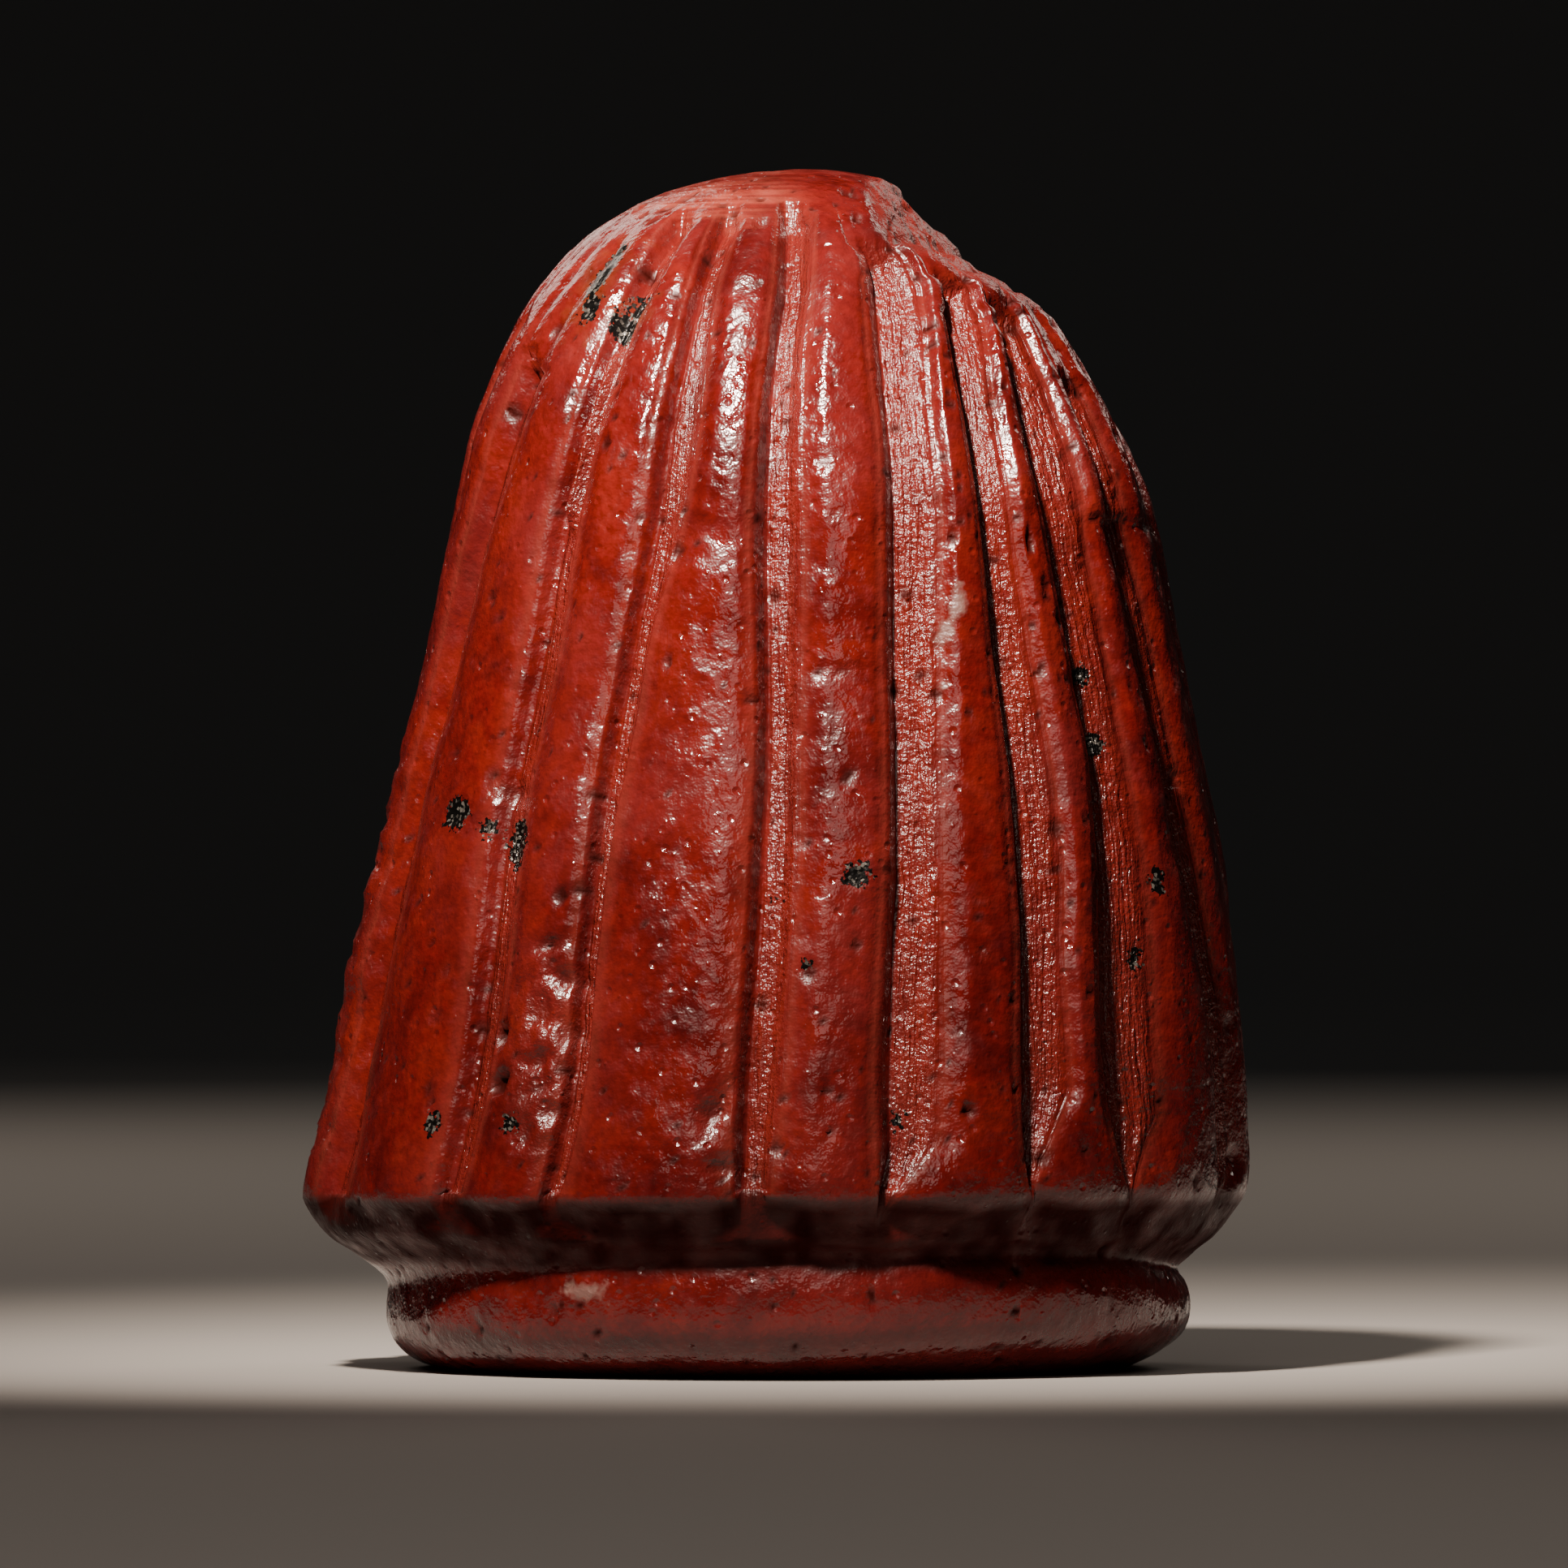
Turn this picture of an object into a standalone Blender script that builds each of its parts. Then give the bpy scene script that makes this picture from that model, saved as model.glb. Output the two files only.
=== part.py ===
"""Fluted stamp seal cut from one piece of red jasper.

The grip is a tall dome with eighteen grooves running down its sides. Its lower edge turns under
to a narrow waist, and a low round base below that ends in the flat face that carries the device.
The whole seal is a single stone, standing on that face. Metres, +Z up, the front towards -Y.
"""

import math

import bmesh
import bpy

MM = 0.001

# Overall size, in millimetres.
HEIGHT = 22.0

# The grooves run about a line slightly right of the middle of the widest ring.
AXIS_X = 0.5

# Height and radius down the worn left side, from the crown to the seal face.
LEFT_SIDE = (
    (22.0, 0.0),
    (21.9, 1.2),
    (21.65, 2.3),
    (21.3, 3.1),
    (20.8, 3.95),
    (20.1, 4.65),
    (19.1, 5.35),
    (17.6, 6.0),
    (16.2, 6.36),
    (14.7, 6.7),
    (12.8, 7.06),
    (10.2, 7.74),
    (8.7, 8.09),
    (6.2, 8.6),
    (4.3, 9.03),
    (3.2, 9.24),
    (2.85, 9.1),
    (2.45, 8.75),
    (2.15, 8.3),
    (1.85, 7.85),
    (1.6, 7.64),
    (1.2, 7.66),
    (0.75, 7.65),
    (0.35, 7.42),
    (0.1, 7.0),
    (0.0, 6.5),
)

# The same down the right side, before the break that has taken part of the crown there.
RIGHT_SIDE = (
    (22.0, 0.0),
    (21.9, 1.1),
    (21.65, 2.05),
    (21.3, 2.75),
    (20.8, 3.5),
    (20.1, 4.15),
    (19.5, 4.5),
    (18.9, 4.88),
    (17.6, 5.64),
    (16.2, 6.3),
    (14.7, 6.66),
    (12.8, 7.06),
    (10.2, 7.58),
    (8.7, 7.82),
    (6.2, 8.08),
    (4.3, 8.17),
    (3.3, 8.12),
    (2.8, 7.83),
    (2.4, 7.45),
    (2.1, 7.05),
    (1.85, 6.8),
    (1.55, 6.98),
    (1.15, 7.07),
    (0.7, 6.95),
    (0.3, 6.5),
    (0.0, 5.9),
)

# The break at the right of the crown: two scars that meet in a notch, a steep one above it and a
# shallow one below. Each is given by its fall for each millimetre outwards, and by how far it
# turns, in degrees, to each side of the azimuth that the break faces.
NOTCH_RADIUS = 2.9
NOTCH_Z = 20.27
BREAK_FACES = 90.0
CROWN_SCARS = (
    (1.18, 14.0),
    (0.48, 6.0),
)

UNBROKEN = 99.0

# The edges of the break are worn round over about this length.
BREAK_EDGE_WEAR = 0.5

# Towards the front the waist lies higher and the base reaches further out, as the band of light
# on the base and the shadow above it show.
FRONT_WAIST_RISE = 0.45
FRONT_BASE_REACH = 0.5

# The grooves that the photograph shows, from left to right: azimuth about the axis, in degrees
# from the front towards the right, and width, each at five heights; then depth, the height of the
# top end, the height of the low end, and the length over which its right edge slants in.
GROOVE_HEIGHTS = (3.5, 7.5, 12.0, 16.0, 19.0)
FRONT_GROOVES = (
    ((-72.0, -72.0, -71.0, -67.0, -62.0), (1.5, 1.4, 1.25, 1.1, 1.1), 0.42, 18.6, 2.35, 0.0),
    ((-46.3, -44.6, -44.6, -42.7, -40.6), (0.85, 1.0, 0.92, 0.87, 0.75), 0.44, 21.1, 2.35, 0.0),
    ((-31.1, -29.0, -27.3, -23.9, -22.6), (0.5, 0.6, 0.68, 0.87, 0.7), 0.42, 21.1, 2.35, 0.0),
    ((-6.4, -5.0, -4.0, -4.6, -3.6), (0.8, 1.0, 0.98, 0.95, 0.85), 0.58, 21.2, 2.35, 0.0),
    ((12.4, 13.8, 15.9, 17.6, 20.3), (1.1, 1.25, 1.16, 1.15, 1.24), 0.52, 20.7, 2.7, 1.6),
    ((33.5, 32.6, 33.5, 32.8, 37.4), (1.15, 1.18, 1.0, 0.86, 1.08), 0.48, 20.2, 3.3, 1.9),
    ((49.5, 47.3, 48.8, 48.1, 53.0), (1.35, 1.7, 1.2, 1.42, 1.65), 0.48, 19.7, 3.0, 1.7),
    ((73.5, 69.0, 64.5, 64.0, 67.5), (1.1, 1.1, 1.1, 1.1, 1.0), 0.45, 18.4, 2.7, 1.0),
)

# The ten at the back, which the photograph doesn't show, are spread evenly.
BACK_GROOVE_COUNT = 10
BACK_GROOVE = ((1.15, 1.1, 1.05, 1.0, 1.0), 0.45, 20.0, 2.5, 1.0)
TOP_END_LENGTH = 0.7
LOW_END_LENGTH = 0.7
TAPER_END_SHARE = 0.15

# Each groove has a steep left wall, a floor that rises to the right and a soft right wall, given
# as places across it from -1 to 1 and the share of the full depth there.
GROOVE_SECTION = ((-1.0, 0.0), (-0.48, 0.97), (0.05, 0.84), (0.55, 0.42))
WIDEST_SHARE = 0.42
CUT_STARTS = 2.2

# A lobe between two grooves is a little flatter than the round of the plan.
LOBE_CROWN = 0.16

# Mesh spacing: columns for each lobe and each groove, and heights of the rings.
LOBE_COLUMNS = 4
RING_HEIGHTS = (
    0.0, 0.1, 0.35, 0.75, 1.2, 1.6, 1.85, 2.1, 2.35, 2.65, 3.0, 3.6, 5.0, 7.0,
    9.0, 11.2, 13.4, 15.4, 17.0, 18.3, 19.2, 19.9, 20.45, 20.95, 21.35, 21.65, 21.82,
)

# The device in the seal face: a ring line, a cross and four drilled dots.
RING_LINE_RADIUS = 5.0
RING_LINE_WIDTH = 0.36
RING_LINE_DEPTH = 0.32
CROSS_LENGTH = 7.0
CROSS_WIDTH = 0.62
STROKE_ACROSS_DEPTH = 0.44
STROKE_UPRIGHT_DEPTH = 0.5
DOT_RADIUS = 0.68
DOT_PLACE = 2.05
DOT_DEPTH = 0.5
CUTTER_STANDS_OUT = 0.4


def clear_scene():
    """Takes away whatever the scene holds."""
    for item in list(bpy.data.objects):
        bpy.data.objects.remove(item, do_unlink=True)


def smooth_step(value):
    """Goes from 0 to 1 with a soft start and a soft end as value goes from 0 to 1."""
    value = min(1.0, max(0.0, value))
    return value * value * (3.0 - 2.0 * value)


def side_radius(side, z):
    """Radius at a height on one side, on a smooth curve through its named points."""
    for index in range(len(side) - 1):
        upper_z, upper_r = side[index]
        lower_z, lower_r = side[index + 1]
        if z <= upper_z and z >= lower_z:
            before = side[max(0, index - 1)]
            after = side[min(len(side) - 1, index + 2)]
            break
    else:
        return side[0][1] if z > side[0][0] else side[-1][1]
    if index == 0:
        # Near the crown the radius follows the root of the drop, so that the top is round.
        share = (upper_z - z) / (upper_z - lower_z)
        return lower_r * math.sqrt(share)
    span = upper_z - lower_z
    share = (upper_z - z) / span
    slope_in = (lower_r - before[1]) / (before[0] - lower_z) * span
    slope_out = (after[1] - upper_r) / (upper_z - after[0]) * span
    s2 = share * share
    s3 = s2 * share
    return (
        (2 * s3 - 3 * s2 + 1) * upper_r
        + (s3 - 2 * s2 + share) * slope_in
        + (3 * s2 - 2 * s3) * lower_r
        + (s3 - s2) * slope_out
    )


def plan_radius(azimuth, z):
    """Radius of the uncut form about the axis, going evenly from the left side to the right."""
    forward = smooth_step(math.cos(math.radians(azimuth)))
    near_waist = smooth_step((z - 0.3) / 1.2) * smooth_step((3.6 - z) / 1.0)
    height = z - FRONT_WAIST_RISE * forward * near_waist
    left = side_radius(LEFT_SIDE, height)
    right = side_radius(RIGHT_SIDE, height)
    whole = 0.5 * (left + right) + 0.5 * (right - left) * math.sin(math.radians(azimuth))
    on_base = smooth_step((2.95 - z) / 0.5) * smooth_step((z + 0.3) / 1.3)
    whole += FRONT_BASE_REACH * forward * on_base
    scar = scar_radius(azimuth, z)
    near_edge = max(0.0, 1.0 - abs(whole - scar) / BREAK_EDGE_WEAR)
    return min(whole, scar) - 0.25 * BREAK_EDGE_WEAR * near_edge ** 2


def scar_radius(azimuth, z):
    """Radius at which the crown's break meets a level line going out from the axis."""
    off_centre = abs((azimuth - BREAK_FACES + 180.0) % 360.0 - 180.0)
    reach = 0.3
    for fall, turned in CROWN_SCARS:
        towards = math.cos(math.radians(off_centre - turned)) / math.cos(math.radians(turned))
        if towards < 0.05:
            return UNBROKEN
        reach = max(reach, (NOTCH_RADIUS + (NOTCH_Z - z) / fall) / towards)
    return reach


def groove_table():
    """Every groove round the grip, in the form that the front ones have."""
    grooves = list(FRONT_GROOVES)
    last = FRONT_GROOVES[-1][0]
    first = FRONT_GROOVES[0][0]
    for number in range(1, BACK_GROOVE_COUNT + 1):
        share = number / (BACK_GROOVE_COUNT + 1)
        azimuths = tuple(
            end + (start + 360.0 - end) * share for end, start in zip(last, first)
        )
        grooves.append((azimuths,) + BACK_GROOVE)
    return grooves


def read_between(values, z):
    """Value at a height, on the smooth curve through the values at the reading heights."""
    z = min(GROOVE_HEIGHTS[-1] + 0.8, max(GROOVE_HEIGHTS[0] - 0.5, z))
    total = 0.0
    for height, value in zip(GROOVE_HEIGHTS, values):
        weight = 1.0
        for other in GROOVE_HEIGHTS:
            if other != height:
                weight *= (z - other) / (height - other)
        total += value * weight
    return total


def groove_edges(groove, z):
    """Middle and half width of a groove in degrees, its right edge slanting in at the low end.

    Below that end, where nothing is cut, the edge slants out again to keep the faces even.
    """
    low_end, taper = groove[4], groove[5]
    middle = read_between(groove[0], z)
    radius = max(plan_radius(middle, z), 0.4)
    half = math.degrees(0.5 * read_between(groove[1], z) / radius)
    if taper > 0.0:
        kept = max(TAPER_END_SHARE, min(1.0, abs(z - low_end) / taper))
        middle -= half * (1.0 - kept)
        half *= kept
    return middle, half


def groove_depth(groove, z):
    """Depth of a groove at a height: full along the grip, fading at both ends."""
    depth, top, low_end = groove[2], groove[3], groove[4]
    fade_top = smooth_step((top - z) / TOP_END_LENGTH)
    fade_low = smooth_step((z - low_end + 0.25) / LOW_END_LENGTH)
    return depth * fade_top * fade_low


def ring_points(grooves, z):
    """Points of one ring: for each groove its rims and its floor, then the lobe beyond it."""
    count = len(grooves)
    edges = [groove_edges(groove, z) for groove in grooves]
    middles = [middle for middle, half in edges]
    gaps = [(middles[(n + 1) % count] - middles[n]) % 360.0 for n in range(count)]
    halves = []
    for number in range(count):
        room = WIDEST_SHARE * min(gaps[number], gaps[number - 1])
        halves.append(min(edges[number][1], room))
    crown = LOBE_CROWN * smooth_step((21.0 - z) / 2.0) * smooth_step((z - CUT_STARTS) / 0.8)
    points = []
    for number, groove in enumerate(grooves):
        azimuth, half = middles[number], halves[number]
        depth = min(groove_depth(groove, z), 0.25 * plan_radius(azimuth, z))
        for place, share in GROOVE_SECTION:
            turn = azimuth + place * half
            points.append((turn, plan_radius(turn, z) - depth * share))
        start = azimuth + half
        end = azimuth + gaps[number] - halves[(number + 1) % count]
        for column in range(LOBE_COLUMNS):
            share = column / LOBE_COLUMNS
            turn = start + (end - start) * share
            drop = crown * 0.5 * (2.0 * share - 1.0) ** 4
            points.append((turn, plan_radius(turn, z) - drop))
    return points


def to_metres(azimuth, radius, z):
    """Turns an azimuth, a radius and a height in millimetres into a point in metres."""
    turn = math.radians(azimuth)
    x = AXIS_X + radius * math.sin(turn)
    y = -radius * math.cos(turn)
    return (x * MM, y * MM, z * MM)


def build_grip(name):
    """The whole uncarved seal as one closed mesh, ring by ring from the face to the crown."""
    grooves = groove_table()
    mesh = bpy.data.meshes.new(name)
    work = bmesh.new()
    rings = []
    for z in RING_HEIGHTS:
        points = ring_points(grooves, z)
        rings.append([work.verts.new(to_metres(a, r, z)) for a, r in points])
    count = len(rings[0])
    for lower, upper in zip(rings, rings[1:]):
        for index in range(count):
            beside = (index + 1) % count
            work.faces.new((lower[index], lower[beside], upper[beside], upper[index]))
    work.faces.new(list(reversed(rings[0])))
    crown = work.verts.new((AXIS_X * MM, 0.0, HEIGHT * MM))
    for index in range(count):
        work.faces.new((rings[-1][index], rings[-1][(index + 1) % count], crown))
    bmesh.ops.recalc_face_normals(work, faces=work.faces)
    work.to_mesh(mesh)
    work.free()
    seal = bpy.data.objects.new(name, mesh)
    bpy.context.scene.collection.objects.link(seal)
    return seal


def add_cutter(name, work):
    """Makes a cutter object from a bmesh, kept out of renders and shown as wire."""
    mesh = bpy.data.meshes.new(name)
    bmesh.ops.recalc_face_normals(work, faces=work.faces)
    work.to_mesh(mesh)
    work.free()
    cutter = bpy.data.objects.new(name, mesh)
    bpy.context.scene.collection.objects.link(cutter)
    cutter.hide_render = True
    cutter.display_type = "WIRE"
    return cutter


def ring_cutter(centre_x):
    """A V-shaped ring for the border line, its point upwards into the stone."""
    work = bmesh.new()
    steps = 56
    half = 0.5 * RING_LINE_WIDTH
    spread = half * (RING_LINE_DEPTH + CUTTER_STANDS_OUT) / RING_LINE_DEPTH
    section = (
        (RING_LINE_RADIUS - spread, -CUTTER_STANDS_OUT),
        (RING_LINE_RADIUS, RING_LINE_DEPTH),
        (RING_LINE_RADIUS + spread, -CUTTER_STANDS_OUT),
    )
    rings = []
    for step in range(steps):
        turn = 2.0 * math.pi * step / steps
        rings.append(
            [
                work.verts.new(
                    (
                        (centre_x + radius * math.cos(turn)) * MM,
                        radius * math.sin(turn) * MM,
                        z * MM,
                    )
                )
                for radius, z in section
            ]
        )
    for step in range(steps):
        here = rings[step]
        beyond = rings[(step + 1) % steps]
        for corner in range(3):
            other = (corner + 1) % 3
            work.faces.new((here[corner], here[other], beyond[other], beyond[corner]))
    return add_cutter("cutter_border_line", work)


def stroke_cutter(name, centre_x, turn, full_depth):
    """A wheel-cut stroke through the middle: wide at the face, narrow and round-ended inside."""
    work = bmesh.new()
    half_length = 0.5 * CROSS_LENGTH
    half_width = 0.5 * CROSS_WIDTH
    rows = []
    steps = 11
    for step in range(steps + 1):
        along = -1.0 + 2.0 * step / steps
        bow = math.sqrt(max(0.0, 1.0 - 0.86 * along * along))
        depth = full_depth * bow
        width = half_width * (0.35 + 0.65 * bow)
        spread = width * (depth + CUTTER_STANDS_OUT) / depth
        profile = ((-spread, -CUTTER_STANDS_OUT), (-0.4 * width, depth), (0.4 * width, depth))
        profile += ((spread, -CUTTER_STANDS_OUT),)
        row = []
        for across, z in profile:
            x = along * half_length * math.cos(turn) - across * math.sin(turn)
            y = along * half_length * math.sin(turn) + across * math.cos(turn)
            row.append(work.verts.new(((centre_x + x) * MM, y * MM, z * MM)))
        rows.append(row)
    for here, beyond in zip(rows, rows[1:]):
        for corner in range(4):
            other = (corner + 1) % 4
            work.faces.new((here[corner], here[other], beyond[other], beyond[corner]))
    work.faces.new(rows[0])
    work.faces.new(list(reversed(rows[-1])))
    return add_cutter(name, work)


def dot_cutter(name, x, y):
    """A drilled dot: a ball sunk into the face as far as the dot is deep."""
    work = bmesh.new()
    ball = (DOT_RADIUS ** 2 + DOT_DEPTH ** 2) / (2.0 * DOT_DEPTH)
    bmesh.ops.create_uvsphere(work, u_segments=18, v_segments=12, radius=ball * MM)
    bmesh.ops.translate(work, verts=work.verts, vec=(x * MM, y * MM, (DOT_DEPTH - ball) * MM))
    return add_cutter(name, work)


def cut(seal, cutter):
    """Takes the cutter's form out of the seal with an exact Boolean, and applies it."""
    step = seal.modifiers.new(cutter.name, "BOOLEAN")
    step.operation = "DIFFERENCE"
    step.solver = "EXACT"
    step.object = cutter
    bpy.context.view_layer.update()
    evaluated = seal.evaluated_get(bpy.context.evaluated_depsgraph_get())
    result = bpy.data.meshes.new_from_object(evaluated)
    seal.modifiers.clear()
    old = seal.data
    seal.data = result
    bpy.data.meshes.remove(old)


def jasper():
    """Polished red jasper: brick red, glossy, not metallic."""
    material = bpy.data.materials.new("red_jasper")
    material.use_nodes = True
    shader = material.node_tree.nodes["Principled BSDF"]
    shader.inputs["Base Color"].default_value = (0.25, 0.026, 0.011, 1.0)
    shader.inputs["Roughness"].default_value = 0.3
    shader.inputs["Metallic"].default_value = 0.0
    material.diffuse_color = (0.25, 0.026, 0.011, 1.0)
    return material


def main():
    """Builds the seal, cuts the device into its face and gives it its material."""
    clear_scene()
    seal = build_grip("seal")
    face_x = AXIS_X - 0.3
    cutters = [
        ring_cutter(face_x),
        stroke_cutter("cutter_stroke_across", face_x, 0.0, STROKE_ACROSS_DEPTH),
        stroke_cutter("cutter_stroke_upright", face_x, math.radians(90.0), STROKE_UPRIGHT_DEPTH),
    ]
    for number, (side_x, side_y) in enumerate(((1, 1), (-1, 1), (-1, -1), (1, -1)), start=1):
        x = face_x + side_x * DOT_PLACE
        y = side_y * DOT_PLACE
        cutters.append(dot_cutter(f"cutter_dot_{number}", x, y))
    for cutter in cutters:
        cut(seal, cutter)
    for cutter in cutters:
        bpy.data.objects.remove(cutter, do_unlink=True)
    seal.data.materials.clear()
    seal.data.materials.append(jasper())
    seal.data.shade_smooth()
    seal.data.set_sharp_from_angle(angle=math.radians(38.0))


main()
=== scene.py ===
"""A fluted stamp seal of red jasper, standing on its seal face on a pale studio floor."""

import enum
import logging
import math
from dataclasses import dataclass, field, replace
from typing import Any

import bpy
import numpy as np
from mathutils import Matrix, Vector


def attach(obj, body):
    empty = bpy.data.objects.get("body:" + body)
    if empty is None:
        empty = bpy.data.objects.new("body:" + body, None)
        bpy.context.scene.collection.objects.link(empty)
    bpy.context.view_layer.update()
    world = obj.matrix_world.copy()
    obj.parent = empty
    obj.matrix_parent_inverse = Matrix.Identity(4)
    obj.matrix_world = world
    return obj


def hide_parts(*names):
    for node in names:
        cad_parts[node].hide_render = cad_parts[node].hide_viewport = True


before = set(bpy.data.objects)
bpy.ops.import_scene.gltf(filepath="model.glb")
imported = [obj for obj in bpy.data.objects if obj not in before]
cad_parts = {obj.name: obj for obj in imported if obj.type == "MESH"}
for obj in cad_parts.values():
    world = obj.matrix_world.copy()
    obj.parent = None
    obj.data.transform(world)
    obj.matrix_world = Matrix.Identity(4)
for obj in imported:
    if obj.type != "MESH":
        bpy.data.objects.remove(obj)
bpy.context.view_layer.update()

log = logging.getLogger("seal")

MM = 0.001
UNBROKEN = 99.0
FAR_OUTSIDE = -2.0
INCLUSIONS = ("iron", "rust", "quartz")


class Kind(enum.Enum):
    """What a mark on the stone is made of, or how it was made."""

    CHIP = "chip"
    PIT = "pit"
    RAISED = "raised"
    IRON = "iron"
    RUST = "rust"
    QUARTZ = "quartz"


def smooth_step(value: np.ndarray) -> np.ndarray:
    """Goes from 0 to 1 with a soft start and end as value goes from 0 to 1."""
    value = np.clip(value, 0.0, 1.0)
    return value * value * (3.0 - 2.0 * value)


@dataclass
class StoneNoise:
    """Smooth seeded noise in three dimensions, read from a repeating lattice."""

    seed: int
    size: int = 32
    lattice: np.ndarray = field(init=False)

    def __post_init__(self) -> None:
        """Fills the lattice with seeded values from -1 to 1."""
        source = np.random.default_rng(self.seed)
        self.lattice = source.uniform(-1.0, 1.0, (self.size,) * 3)

    def at(self, points: np.ndarray, feature: float) -> np.ndarray:
        """Noise at some points.

        Args:
            points: Positions in millimetres, with x, y and z last.
            feature: Distance between lattice values, in millimetres.

        Returns:
            One value from -1 to 1 for each point.
        """
        scaled = points / feature
        corner = np.floor(scaled).astype(int)
        part = smooth_step(scaled - corner)
        total = np.zeros(points.shape[:-1])
        for step in np.ndindex(2, 2, 2):
            index = (corner + np.array(step)) % self.size
            weight = np.ones(points.shape[:-1])
            for axis in range(3):
                share = part[..., axis]
                weight = weight * (share if step[axis] else 1.0 - share)
            total += weight * self.lattice[index[..., 0], index[..., 1], index[..., 2]]
        return total

    def layers(self, points: np.ndarray, feature: float, count: int) -> np.ndarray:
        """Noise in several layers, each half as large and half as strong as the last.

        Args:
            points: Positions in millimetres, with x, y and z last.
            feature: Lattice distance of the largest layer, in millimetres.
            count: Number of layers.

        Returns:
            One value for each point, mostly from -1 to 1.
        """
        total = np.zeros(points.shape[:-1])
        for layer in range(count):
            share = 0.5**layer
            total += share * self.at(points + 17.3 * layer, feature * share)
        return total


@dataclass(frozen=True)
class SideProfile:
    """One side of the stone, as named heights and radii in millimetres, crown first."""

    points: tuple[tuple[float, float], ...]

    def radius(self, z: np.ndarray) -> np.ndarray:
        """Radius at each height, on a smooth curve through the named points.

        Args:
            z: Heights in millimetres.

        Returns:
            Radii in millimetres, in the same shape.
        """
        table = np.array(self.points)
        z = np.clip(z, table[-1, 0], table[0, 0])
        result = np.zeros_like(z)
        last = len(table) - 1
        for index in range(last):
            upper_z, upper_r = table[index]
            lower_z, lower_r = table[index + 1]
            inside = (z <= upper_z) & (z >= lower_z)
            span = upper_z - lower_z
            share = (upper_z - z[inside]) / span
            if index == 0:
                result[inside] = lower_r * np.sqrt(share)
                continue
            before = table[index - 1]
            after = table[min(last, index + 2)]
            slope_in = (lower_r - before[1]) / (before[0] - lower_z) * span
            slope_out = (after[1] - upper_r) / (upper_z - after[0]) * span
            square, cube = share**2, share**3
            result[inside] = (
                (2 * cube - 3 * square + 1) * upper_r
                + (cube - 2 * square + share) * slope_in
                + (3 * square - 2 * cube) * lower_r
                + (cube - square) * slope_out
            )
        return result


@dataclass(frozen=True)
class Groove:
    """One groove of the grip.

    The azimuths, in degrees from the front towards the right, and the widths are given at five
    heights. Widths, depth and heights are in millimetres. taper is the length over which the
    groove narrows to its low end. lean goes from 0, a flat floor with a right wall, to 1, a floor
    that rises all the way to the right rim. split is the band of heights in which two cuts lie
    side by side.
    """

    azimuths: tuple[float, ...]
    widths: tuple[float, ...]
    depth: float
    top: float
    low_end: float = 2.35
    taper: float = 0.0
    lean: float = 0.3
    split: tuple[float, float] | None = None


@dataclass(frozen=True)
class Mark:
    """A chip, a pit or an inclusion, by its place seen from the front, in millimetres.

    side and height place its middle in the front view. across and along are its half sizes, tilt
    turns it in degrees, and depth is how far it goes into the stone.
    """

    kind: Kind
    side: float
    height: float
    across: float
    along: float
    depth: float = 0.0
    tilt: float = 0.0


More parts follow.
